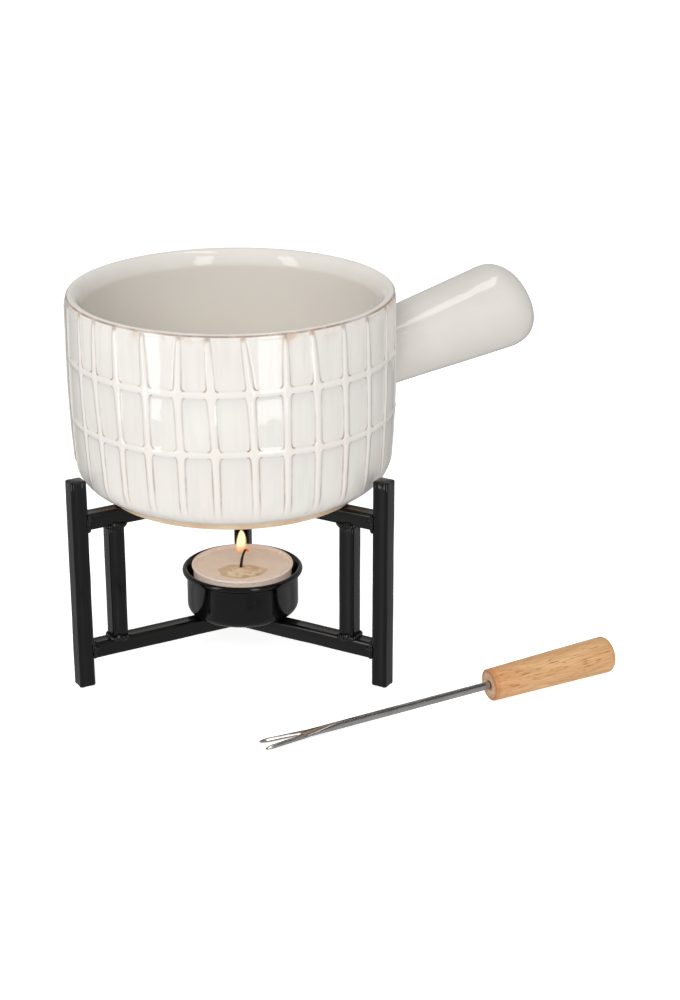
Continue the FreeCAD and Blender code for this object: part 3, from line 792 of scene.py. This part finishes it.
def bar_section():
    """Rounded square section, counter-clockwise, with slightly dished faces."""
    half = BAR / 2
    points = []
    for quarter in range(4):
        middle_angle = quarter * math.pi / 2 + math.pi / 4
        centre = (half - EDGE_ROUND) * math.sqrt(2) * towards(middle_angle)
        for step in range(6):
            angle = quarter * math.pi / 2 + step / 5 * math.pi / 2
            points.append(centre + EDGE_ROUND * towards(angle))
        out = towards(middle_angle + math.pi / 4)
        along = np.array([-out[1], out[0]])
        for shift in (-0.4, 0.4):
            points.append(out * (half - FACE_HOLLOW) + along * shift * half)
    return np.array(points)


def bevel(size):
    """Sections that round off a bar's end, as (distance from the end, inset)."""
    return [(0.0, size), (size * 0.35, size * 0.3), (size, 0.0)] if size else [(0.0, 0.0)]


def bar_shape(length, ends=(0.0, 0.0), mitre=False, seed=0.0):
    """A bar along +X; ends are the bevels at its two ends, mitre points the first end."""
    section = bar_section()
    inner = np.linspace(ends[0], length - ends[1], max(3, int(length / 3)))[1:-1]
    stations = bevel(ends[0]) + [(float(x), 0.0) for x in inner]
    stations += [(length - x, inset) for x, inset in reversed(bevel(ends[1]))]
    rings = []
    for x, inset in stations:
        scale = 1 - inset / (BAR / 2)
        start = np.abs(section[:, 0]) / math.tan(math.radians(60)) if mitre and x == 0.0 else 0.0
        rings.append(np.stack([np.full(len(section), x) + start, section[:, 0] * scale,
                               section[:, 1] * scale], 1))
    verts, faces = skin(rings)
    return wobble(verts, 11.0, 0.09, seed), faces


def upright(shape):
    """Stand a bar that lies along +X on its first end."""
    verts, faces = shape
    return np.stack([-verts[:, 2], verts[:, 1], verts[:, 0]], 1), faces


def round_about_axis(verts, azimuth):
    return placed(verts, (AXIS.x, AXIS.y, 0), azimuth)


def make_bar(name, shape, shift, azimuth, steel, node):
    verts, faces = shape
    turned = round_about_axis(verts + np.array(shift), azimuth)
    length_first = verts[:, ::-1] if np.ptp(verts[:, 2]) > np.ptp(verts[:, 0]) else verts
    piece(name, (turned, faces), [steel], "warmer", "black_steel", [node], grain=length_first + azimuth)


def make_bars(steel):
    reach = LEG_RADIUS - BAR / 2
    for index, (side, azimuth) in enumerate(SIDES.items()):
        leg = upright(bar_shape(LEG_HEIGHT, LEG_BEVELS, seed=index + 1.0))
        make_bar("bar_leg_" + side, leg, (LEG_RADIUS, 0, 0), azimuth, steel, "leg_" + side)
        foot = low("strut_" + side).z
        strut = upright(bar_shape(high("strut_" + side).z - foot, STRUT_BEVELS, seed=index + 5.0))
        make_bar("bar_strut_" + side, strut, (STRUT_RADIUS, 0, foot), azimuth, steel, "strut_" + side)
        for level in ("upper", "lower"):
            node = level + "_spoke_" + side
            spoke = bar_shape(reach, mitre=True, seed=index + 9.0 + len(level))
            make_bar("bar_" + node, spoke, (0, 0, low(node).z + BAR / 2), azimuth, steel, node)


def lump(centre, size):
    """A ball of weld metal of three radii."""
    outline = [(math.sin(angle), -math.cos(angle)) for angle in np.linspace(0, math.pi, 7)[1:-1]]
    verts, faces = skin(lathe_rings(outline, around(10)))
    return verts * np.array(size) + np.array(centre), faces


def seam(start, end, size, chance):
    """A run of overlapping lumps from start to end, uneven as a hand weld is."""
    lumps = []
    for t in np.linspace(0, 1, SEAM_LUMPS):
        centre = np.array(start) * (1 - t) + np.array(end) * t + chance.uniform(-0.12, 0.12, 3)
        lumps.append(lump(centre, np.array((size,) * 3) * chance.uniform(0.85, 1.2, 3)))
    return lumps


def melted(shape, voxel):
    """One smooth skin round many overlapping lumps."""
    mesh = mesh_of("lumps", shape)
    lumps = put("lumps", mesh)
    remesh = lumps.modifiers.new("skin", "REMESH")
    remesh.mode = "VOXEL"
    remesh.voxel_size = voxel * MM
    soften = lumps.modifiers.new("soften", "SMOOTH")
    soften.iterations = 9
    soften.factor = 0.5
    skinned = bpy.data.meshes.new_from_object(lumps.evaluated_get(bpy.context.evaluated_depsgraph_get()))
    out = np.empty(len(skinned.vertices) * 3)
    skinned.vertices.foreach_get("co", out)
    faces = [list(polygon.vertices) for polygon in skinned.polygons]
    bpy.data.objects.remove(lumps)
    bpy.data.meshes.remove(mesh)
    bpy.data.meshes.remove(skinned)
    return out.reshape(-1, 3) / MM, faces


def make_welds(steel):
    half = BAR / 2
    inner = LEG_RADIUS - half
    chance = np.random.default_rng(3)
    for level in ("upper", "lower"):
        under = low(level + "_spoke_back").z
        over = under + BAR
        strut_z = under if level == "upper" else over
        cap_z = over if level == "lower" else under
        lumps = []
        for azimuth in SIDES.values():
            run = []
            for side in (-1, 1):
                edge = side * half
                ends = [(inner, edge, z) for z in (under + 1.2, over - 1.2)]
                run += seam(*ends, LEG_SEAM, chance)
                ends = [(STRUT_RADIUS + x, edge, strut_z) for x in (0.6 - half, half - 0.6)]
                run += seam(*ends, STRUT_SEAM, chance)
                ends = [(STRUT_RADIUS + edge, y, strut_z) for y in (0.8 - half, half - 0.8)]
                run += seam(*ends, CROSS_SEAM, chance)
                for face in (1, -1):
                    spot = (STRUT_RADIUS + face * side * 0.9, face * half * 0.97, strut_z + face * side * 0.5)
                    run.append(lump(spot, STRUT_BLOB))
                run.append(lump((inner - 0.9, edge * 0.98, over - 2.2), LEG_BLOB))
            run += seam((inner, 0.8 - half, cap_z), (inner, half - 0.8, cap_z), CROSS_SEAM, chance)
            lumps += [(round_about_axis(verts, azimuth), faces) for verts, faces in run]
        verts, faces = melted(joined(lumps), WELD_VOXEL)
        piece("beads_" + level, (verts, faces), [steel], "warmer", "black_steel", [level + "_welds"],
              sharp=80.0, grain=verts)


def make_holder(steel):
    """Pressed cup with a rounded bottom corner and a rim rolled outwards."""
    curl, wall = HOLDER_CURL, HOLDER_WALL
    rim_radius = half_width("candle_holder") - curl
    rim_height = high("candle_holder").z - SHELF_Z - curl
    radius = rim_radius - curl + wall / 2
    outline = filleted([(1.5, 0.0, 0), (radius, 0.0, 3.6), (radius, rim_height - 1.4, 0.8),
                        (rim_radius, rim_height - 1.4, 0)], 8)[:-1]
    outline += [(rim_radius + curl * math.cos(a), rim_height + curl * math.sin(a))
                for a in np.radians(np.arange(-100, 171, 18))]
    outline += filleted([(radius - wall - 0.05, rim_height - 1.0, 0), (radius - wall, wall, 2.8),
                         (1.5, wall, 0)], 8)
    verts, faces = lathe(outline, 4.0, 120)
    verts = wobble(lifted(verts, CUP_AXIS, SHELF_Z), 22.0, 0.12, 4.0)
    piece("steel_cup", (verts, faces), [steel], "warmer", "black_steel", ["candle_holder"], sharp=50.0,
          grain=verts)


# ---------------------------------------------------------------- tealight

WICK_SPOT = Vector((-0.7, -0.3, 0.0))     # foot of the wick, from the cup's axis
WICK_LENGTH, WICK_DEPTH = 10.1, 1.6       # along its curve, and how much of that is in the wax
WICK_RADIUS = 0.6
POOL_SPOT, POOL_REACH = (0.0, -5.0), (9.8, 7.6)
CUP_FOOT_RADIUS, CUP_INNER_RADIUS, CUP_WALL = 18.7, 18.1, 0.6
WAX_FOOT_RADIUS, WAX_RADIUS = 18.0, 18.55
MANTLE, CORE = (12.0, 2.1), (10.1, 1.65)  # height and widest radius of the flame's two skins
FLAME_LIFT, CORE_LIFT = 2.6, 1.6          # above the wax, and above the mantle's foot
FLAME_BELLY = 0.45                        # share of its height where it is widest
FLAME_BACK, FLAME_FLATNESS = 1.3, 0.7     # behind the wick's curl, and thinner that way


def make_tealight_cup(plastic):
    base = low("tealight_cup").z
    height = CUP_TOP_Z - base
    lip = half_width("tealight_cup")
    outline = filleted([(1.0, 0.0, 0), (CUP_FOOT_RADIUS, 0.0, 3.0), (lip - 0.55, height - 1.0, 0.3),
                        (lip, height - 0.9, 0.3), (lip, height - 0.05, 0.35), (lip - 1.1, height, 0.3),
                        (CUP_INNER_RADIUS, CUP_WALL, 2.4), (1.0, CUP_WALL, 0)], 5)
    verts, faces = lathe(outline, 3.0, 120)
    verts = lifted(verts, CUP_AXIS, base)
    piece("clear_cup", (verts, faces), [plastic], "tealight", "clear_plastic", ["tealight_cup"])


def make_wax(wax):
    """The wax, its top dished and melted to a shallow pool about the wick."""
    base = low("tealight_wax").z
    top = high("tealight_wax").z - base
    turn = around(120)
    outer = filleted([(1.0, 0.0, 0), (WAX_FOOT_RADIUS, 0.0, 2.3), (WAX_RADIUS, top + 0.5, 0.4),
                      (17.4, top, 0)], 5)
    rings = lathe_rings(dense(outer, 3.0), turn)
    melt = [np.zeros(len(turn)) for _ in rings]
    for radius in np.linspace(17.0, 0.8, 48):
        shift = smooth(radius, 18.0, 4.0)
        x = radius * np.cos(turn) + WICK_SPOT.x * shift
        y = radius * np.sin(turn) + WICK_SPOT.y * shift
        across, along = (x - POOL_SPOT[0]) / POOL_REACH[0], (y - POOL_SPOT[1]) / POOL_REACH[1]
        bearing = np.arctan2(along, across)
        away = np.hypot(across, along) - 0.05 * np.sin(3 * bearing + 1.0) - 0.035 * np.sin(7 * bearing)
        inside = np.clip((1.03 - away) / 0.6, 0, 1)
        dish = 0.35 * smooth(radius, 16.5, 8.0)
        lumps = np.array([noise.noise(Vector((a / 3.2, b / 3.2, 2.0))) for a, b in zip(x, y)])
        height = top - dish - 0.3 * smooth(inside, 0.0, 0.3) + lumps * (0.1 + 0.12 * smooth(inside, 0.3, 0.7))
        rings.append(np.stack([x, y, height], 1))
        melt.append(inside)
    verts, faces = skin(rings)
    verts = lifted(verts, CUP_AXIS, base)
    values = np.concatenate(melt + [[0.0, 1.0]])
    piece("wax_fill", (verts, faces), [wax], "tealight", "wax", ["tealight_wax"],
          attributes={"melt": values})


def wick_path(steps=34):
    """Middle line of the wick from under the wax upwards, hooking over to the right at its end.

    It leans 5 degrees at its foot, 37 higher up, and 112 more where it hooks over.
    """
    point = Vector((CUP_AXIS.x, CUP_AXIS.y, high("tealight_wax").z - WICK_DEPTH)) + WICK_SPOT
    points = [point.copy()]
    for step in range(steps - 1):
        t = step / (steps - 2)
        lean = math.radians(5 + 32 * t ** 2 + 112 * float(smooth(t, 0.78, 1.0)))
        point += Vector((math.sin(lean), 0.0, math.cos(lean))) * WICK_LENGTH / (steps - 1)
        points.append(point.copy())
    return points


def tube(points, radii, turns=14):
    """Rings of a round tube along a path in the x-z plane."""
    rings = []
    for index, point in enumerate(points):
        before, after = points[max(index - 1, 0)], points[min(index + 1, len(points) - 1)]
        ahead = (after - before).normalized()
        side = Vector((0, 1, 0))
        up = ahead.cross(side)
        ways = [side * math.sin(angle) + up * math.cos(angle) for angle in around(turns)]
        rings.append(np.array([point + way * radii[index] for way in ways]))
    return rings


def make_wick(cotton):
    points = wick_path()
    count = len(points)
    radii = [WICK_RADIUS - 0.006 * i + 0.05 * math.sin(i * 1.9) for i in range(count)]
    radii[-3:] = [0.52, 0.5, 0.3]            # the charred end narrows
    rings = tube(points, radii)
    verts, faces = skin([ring[::-1] for ring in rings])
    ember = np.repeat(smooth(np.arange(count), count - 6.5, count - 3.0), len(rings[0]))
    piece("curled_wick", (verts, faces), [cotton], "tealight", "wick_cotton", ["tealight_wick"],
          attributes={"ember": np.concatenate([ember, [0.0, 1.0]])})


def flame_shell(foot, height, widest):
    """Vertices and faces of one skin of the flame, and how far up each vertex is."""
    rings, levels = [], []
    count = 40
    turn = around(count)
    for t in np.linspace(0.01, 0.995, count):
        if t > FLAME_BELLY:
            radius = widest * math.sqrt(1 - ((t - FLAME_BELLY) / (1 - FLAME_BELLY)) ** 2) ** 1.25
        else:
            radius = widest * float(smooth(t, -0.12, FLAME_BELLY)) ** 0.7
        x = CUP_AXIS.x + WICK_SPOT.x + 0.65 - 1.4 * (1 - t) ** 2 - 0.25 * t ** 3
        y = CUP_AXIS.y + FLAME_BACK + FLAME_FLATNESS * radius * np.sin(turn)
        rings.append(np.stack([x + radius * np.cos(turn), y, np.full(count, foot + height * t)], 1))
        levels.append(np.full(count, t))
    return skin(rings), np.concatenate(levels + [[0.0, 1.0]])


def make_flame(fire):
    """A flame behind the curl of the wick: a bright core in a thin mantle, thinning out at the foot."""
    foot = high("tealight_wax").z + FLAME_LIFT
    mantle, mantle_levels = flame_shell(foot, *MANTLE)
    core, core_levels = flame_shell(foot + CORE_LIFT, *CORE)
    cores = np.concatenate([np.zeros(len(mantle_levels)), np.ones(len(core_levels))])
    piece("flame", joined([mantle, core]), [fire], "tealight", "wick_cotton", [],
          attributes={"height": np.concatenate([mantle_levels, core_levels]), "core": cores})


# ---------------------------------------------------------------- fork

FORK_AZIMUTH, FORK_TILT = 24.7, 3.3
FORK_LENGTH = 52.4
SMALL_RADIUS, LARGE_RADIUS = 6.15, 7.1
ROD_RADIUS = 1.5
ROD_REACH, PRONG_LENGTH, BLADE_LENGTH = 93.0, 15.4, 16.0
BLADE_HALF, BLADE_THICK = 2.5, 0.6
PRONG_OUT, PRONG_HALF, PRONG_THICK = 3.9, 0.88, 0.8
PRONG_ROOT_HALF, PRONG_OVERLAP = 1.2, 1.8      # where it leaves the blade, and its start inside that
TIP_START = 0.76                               # share of a prong where its tip begins to narrow
ROD_INSIDE = 30.0                              # how far the rod runs into the wood
GRIP_COLUMNS = 72
BORE_END, EDGE_START = 2.6, SMALL_RADIUS - 0.75      # between them the grip's small end is flat


def fork_origin():
    """The middle of the small end of the fork's handle."""
    turn, tilt = math.radians(FORK_AZIMUTH), math.radians(FORK_TILT)
    lowest = low("fork_handle")
    x = lowest.x + SMALL_RADIUS * math.sin(turn)
    y = lowest.y + SMALL_RADIUS * math.cos(turn)
    return Vector((x, y, SMALL_RADIUS * math.cos(tilt)))


def on_fork(shape):
    verts, faces = shape
    return placed(verts, fork_origin(), FORK_AZIMUTH, FORK_TILT), faces


def along_x(rings):
    """Rings drawn about z, laid along x the right way round."""
    return [np.stack([ring[:, 2], ring[:, 1], -ring[:, 0]], 1) for ring in rings]


def make_fork_handle(wood):
    """A turned grip; its flat end has rows close enough for the ring that is painted there."""
    outline = dense(filleted([(1.3, 0.3, 0), (1.7, 0.3, 0.1), (1.8, 0.0, 0.1), (2.5, 0.0, 0),
                              (SMALL_RADIUS, 0.0, 0.55), (LARGE_RADIUS, FORK_LENGTH, 2.4),
                              (2.0, FORK_LENGTH, 0)], 7), 2.0)
    flat = [point for point in dense([(1.9, 0.0), (EDGE_START, 0.0)], 0.3) if point[0] > BORE_END]
    place = next(i for i, (r, z) in enumerate(outline) if r > BORE_END)
    rest = [(r, z) for r, z in outline[place:] if z > 0 or r > EDGE_START]
    outline = outline[:place] + flat + rest
    rings = along_x(lathe_rings(outline, around(GRIP_COLUMNS)))

    def paint(rule, ends):
        return np.append(np.repeat([float(rule(r, z)) for r, z in outline], GRIP_COLUMNS), ends)

    attributes = {
        "bore": paint(lambda r, z: (r < 2.45) * (z < 4), [1.0, 0.0]),
        "end_grain": paint(lambda r, z: z < 0.12, [0.0, 0.0]),
        "ring": paint(lambda r, z: math.exp(-((r - SMALL_RADIUS + 0.6) / 0.75) ** 2) * (z < 0.6), [0.0, 0.0]),
        "warm": paint(lambda r, z: smooth(z, 15.0, 2.0), [0.0, 0.0]),
    }
    verts, faces = skin(rings)
    verts = wobble(verts, 25.0, 0.12, 9.0)
    piece("wood_grip", on_fork((verts, faces)), [wood], "fork", "fork_wood", ["fork_handle"],
          attributes=attributes, grain=verts)


def flat_ring(x, centre, half, thick, power, turns=20):
    """A section across the rod: a circle when power is 2, a rounded bar when it is larger."""
    c, s = np.cos(around(turns)), np.sin(around(turns))
    y = centre + half * np.sign(c) * np.abs(c) ** (2 / power)
    z = thick * np.sign(s) * np.abs(s) ** (2 / power)
    return np.stack([np.full(turns, x), y, z], 1)


def make_fork_rod(steel):
    """Round rod that flattens into a blade and parts into two rounded prongs."""
    split = -(ROD_REACH - PRONG_LENGTH)
    start = split + BLADE_LENGTH
    rings = [flat_ring(x, 0.0, ROD_RADIUS, ROD_RADIUS, 2.0) for x in np.linspace(ROD_INSIDE, start, 24)]
    for t in np.linspace(0.1, 1.0, 10):
        ease = float(smooth(t, 0.0, 1.0))
        half = ROD_RADIUS + (BLADE_HALF - ROD_RADIUS) * ease
        thick = ROD_RADIUS + (BLADE_THICK - ROD_RADIUS) * ease
        rings.append(flat_ring(start - BLADE_LENGTH * t, 0.0, half, thick, 2.0 + 0.9 * ease))
    parts = [skin([ring[::-1] for ring in rings])]
    for side in (-1, 1):
        prong = []
        for t in (*np.linspace(0.0, TIP_START, 12), 0.82, 0.87, 0.91, 0.945, 0.97, 0.988, 1.0):
            x = split + PRONG_OVERLAP - (PRONG_LENGTH + PRONG_OVERLAP) * t
            taper = math.sqrt(1 - max(0.0, (t - TIP_START) / 0.245) ** 2)
            opened = float(smooth(t, 0.0, 0.55))
            width = (PRONG_ROOT_HALF + (PRONG_HALF - PRONG_ROOT_HALF) * opened) * taper
            thick = (BLADE_THICK + (PRONG_THICK - BLADE_THICK) * opened) * taper
            middle_line = (BLADE_HALF - PRONG_ROOT_HALF
                           + (PRONG_OUT - PRONG_HALF - BLADE_HALF + PRONG_ROOT_HALF) * t)
            prong.append(flat_ring(x, side * middle_line, width, thick, 2.9 - 0.8 * opened))
        parts.append(skin([ring[::-1] for ring in prong]))
    verts, faces = joined(parts)
    piece("steel_prongs", on_fork((verts, faces)), [steel], "fork", "fork_steel", ["fork_rod"],
          sharp=50.0, grain=verts)


# ---------------------------------------------------------------- studio

FLOOR_REACH = 6000.0


def make_floor():
    look = Look("studio_paper", Roughness=0.9, Specular_IOR_Level=0.2, Emission_Strength=0.68,
                Emission_Color=(1.0, 1.0, 1.0, 1.0))
    fibre = look.spread(look.noise(2.0, detail=3))
    look.set("Base Color", look.mix(fibre, (250, 250, 250), (246, 246, 246)))
    corners = [(x * FLOOR_REACH, y * FLOOR_REACH, 0) for x, y in ((-1, -1), (1, -1), (1, 1), (-1, 1))]
    mesh = mesh_of("studio_floor", (corners, [(0, 1, 2, 3)]))
    mesh.materials.append(look.material)
    floor = put("studio_floor", mesh)
    floor.visible_glossy = False
    floor.visible_diffuse = False


def softbox(name, azimuth, distance, height, size, radiance, seen=True, lights=True):
    """A soft light at an azimuth in degrees from the front, turned to face the pot.

    Seen says whether reflections show it, and lights whether it lights matt surfaces.
    """
    data = bpy.data.lights.new(name, "AREA")
    data.shape = "RECTANGLE"
    data.size, data.size_y = (side * MM for side in size)
    data.energy = 4 * radiance * data.size * data.size_y
    lamp = put(name, data)
    turn = math.radians(azimuth)
    place = (AXIS.x + distance * math.sin(turn), AXIS.y - distance * math.cos(turn), height)
    lamp.location = Vector(place) * MM
    target = Vector((AXIS.x, AXIS.y, min(height, RIM_Z))) * MM
    lamp.rotation_euler = (lamp.location - target).to_track_quat("Z", "Y").to_euler()
    lamp.visible_camera = False
    lamp.visible_glossy = seen
    lamp.visible_diffuse = lights
    return lamp


# How bright the white room is where it lights things, to the camera, and in reflections.
ROOM_LIGHT = {"up": 0.5, "down": 1.02}
ROOM_SEEN = 1.0
ROOM_REFLECTED = {"front": 0.42, "back": 0.5, "up": 0.11, "down": 0.5, "down_back": 0.3, "down_side": 0.75}
SOFTBOXES = {"left_softbox": -49.0, "right_softbox": 26.0}     # degrees from the front
SOFTBOX_DISTANCE, SOFTBOX_HEIGHT, SOFTBOX_SIZE, SOFTBOX_RADIANCE = 312.0, 213.0, (75, 402), 3.4


def make_room():
    """A white room and its white table, dimmer in reflections than they are to the camera."""
    world = bpy.data.worlds.new("studio")
    bpy.context.scene.world = world
    world.use_nodes = True
    room = Nodes(world.node_tree)
    x, y, z = room.node("SeparateXYZ", {0: room.node("TexCoord").outputs["Generated"]}).outputs
    seen = room.band(y, -0.2, 0.7, ROOM_REFLECTED["front"], ROOM_REFLECTED["back"])
    seen = room.band(z, 0.35, 0.8, seen, ROOM_REFLECTED["up"])
    table = room.band(y, 0.2, 0.8, ROOM_REFLECTED["down"], ROOM_REFLECTED["down_back"])
    table = room.band(room.math("ABSOLUTE", x), 0.74, 0.86, table, ROOM_REFLECTED["down_side"])
    seen = room.band(z, 0.0, -0.15, seen, table)
    lit = room.band(z, 0.0, -0.15, ROOM_LIGHT["up"], ROOM_LIGHT["down"])
    path = room.node("LightPath").outputs
    strength = room.band(path["Is Camera Ray"], 0.0, 1.0, lit, ROOM_SEEN)
    strength = room.band(path["Is Glossy Ray"], 0.0, 1.0, strength, seen)
    background = room.tree.nodes["Background"]
    room.feed(background.inputs["Color"], (1.0, 1.0, 1.0, 1.0))
    room.feed(background.inputs["Strength"], strength)


def make_lights():
    """Two softboxes and a strip that only reflections show, fills that only light, and the flame's glow."""
    for name, azimuth in SOFTBOXES.items():
        softbox(name, azimuth, SOFTBOX_DISTANCE, SOFTBOX_HEIGHT, SOFTBOX_SIZE, SOFTBOX_RADIANCE, lights=False)
    strip = softbox("overhead_strip", 0.0, 0.0, 725.0, (84, 390), 3.3, lights=False)
    strip.location += Vector((125.0, -60.0, 0.0)) * MM
    strip.rotation_euler = (0.0, 0.0, 0.0)
    softbox("front_fill", -10.0, 1300.0, 1000.0, (900, 1100), 3.45, seen=False)
    overhead = softbox("overhead_fill", 0.0, 0.0, 1500.0, (900, 900), 0.5, seen=False)
    overhead.rotation_euler = (0.0, 0.0, 0.0)
    glow = bpy.data.lights.new("candle_glow", "POINT")
    glow.color = (1.0, 0.7, 0.45)
    glow.energy = 0.001
    glow.shadow_soft_size = 3.0 * MM
    lamp = put("candle_glow", glow)
    lamp.location = Vector((CUP_AXIS.x, CUP_AXIS.y - 1.0, high("tealight_wax").z + 14.0)) * MM
    lamp.visible_glossy = False


CAMERA_PLACE = (40.9, -748.4, 346.0)      # from the warmer's centre line on the table
CAMERA_TILT = 20.7                        # degrees below level
LENS = 74.0


def make_camera():
    data = bpy.data.cameras.new("camera")
    data.lens = LENS
    data.clip_start = 0.01
    camera = put("camera", data)
    camera.location = (AXIS + Vector(CAMERA_PLACE)) * MM
    camera.rotation_euler = (math.radians(90 - CAMERA_TILT), 0, 0)
    bpy.context.scene.camera = camera
    bpy.context.scene.view_settings.view_transform = "Standard"


# ---------------------------------------------------------------- the set

def make_set():
    ribbed_glaze = glaze_look("ribbed_glaze", ribbed=True)
    # The handle's glaze is a darker copy of the pot's: painted shade.
    plain_glaze = glaze_look("plain_glaze", ribbed=False, base=GLAZE_HANDLE_SHADED)
    steel = black_steel_look()
    make_pot(ribbed_glaze, bare_clay_look())
    make_pot_handle(plain_glaze)
    make_bars(steel)
    make_welds(steel)
    make_holder(steel)
    make_tealight_cup(clear_plastic_look())
    make_wax(wax_look())
    make_wick(wick_look())
    make_flame(flame_look())
    make_fork_handle(wood_look())
    make_fork_rod(fork_steel_look())
    tinplate = tinplate_look()
    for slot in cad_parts["wick_sustainer"].material_slots:
        slot.material = tinplate


make_set()
make_floor()
make_room()
make_lights()
make_camera()
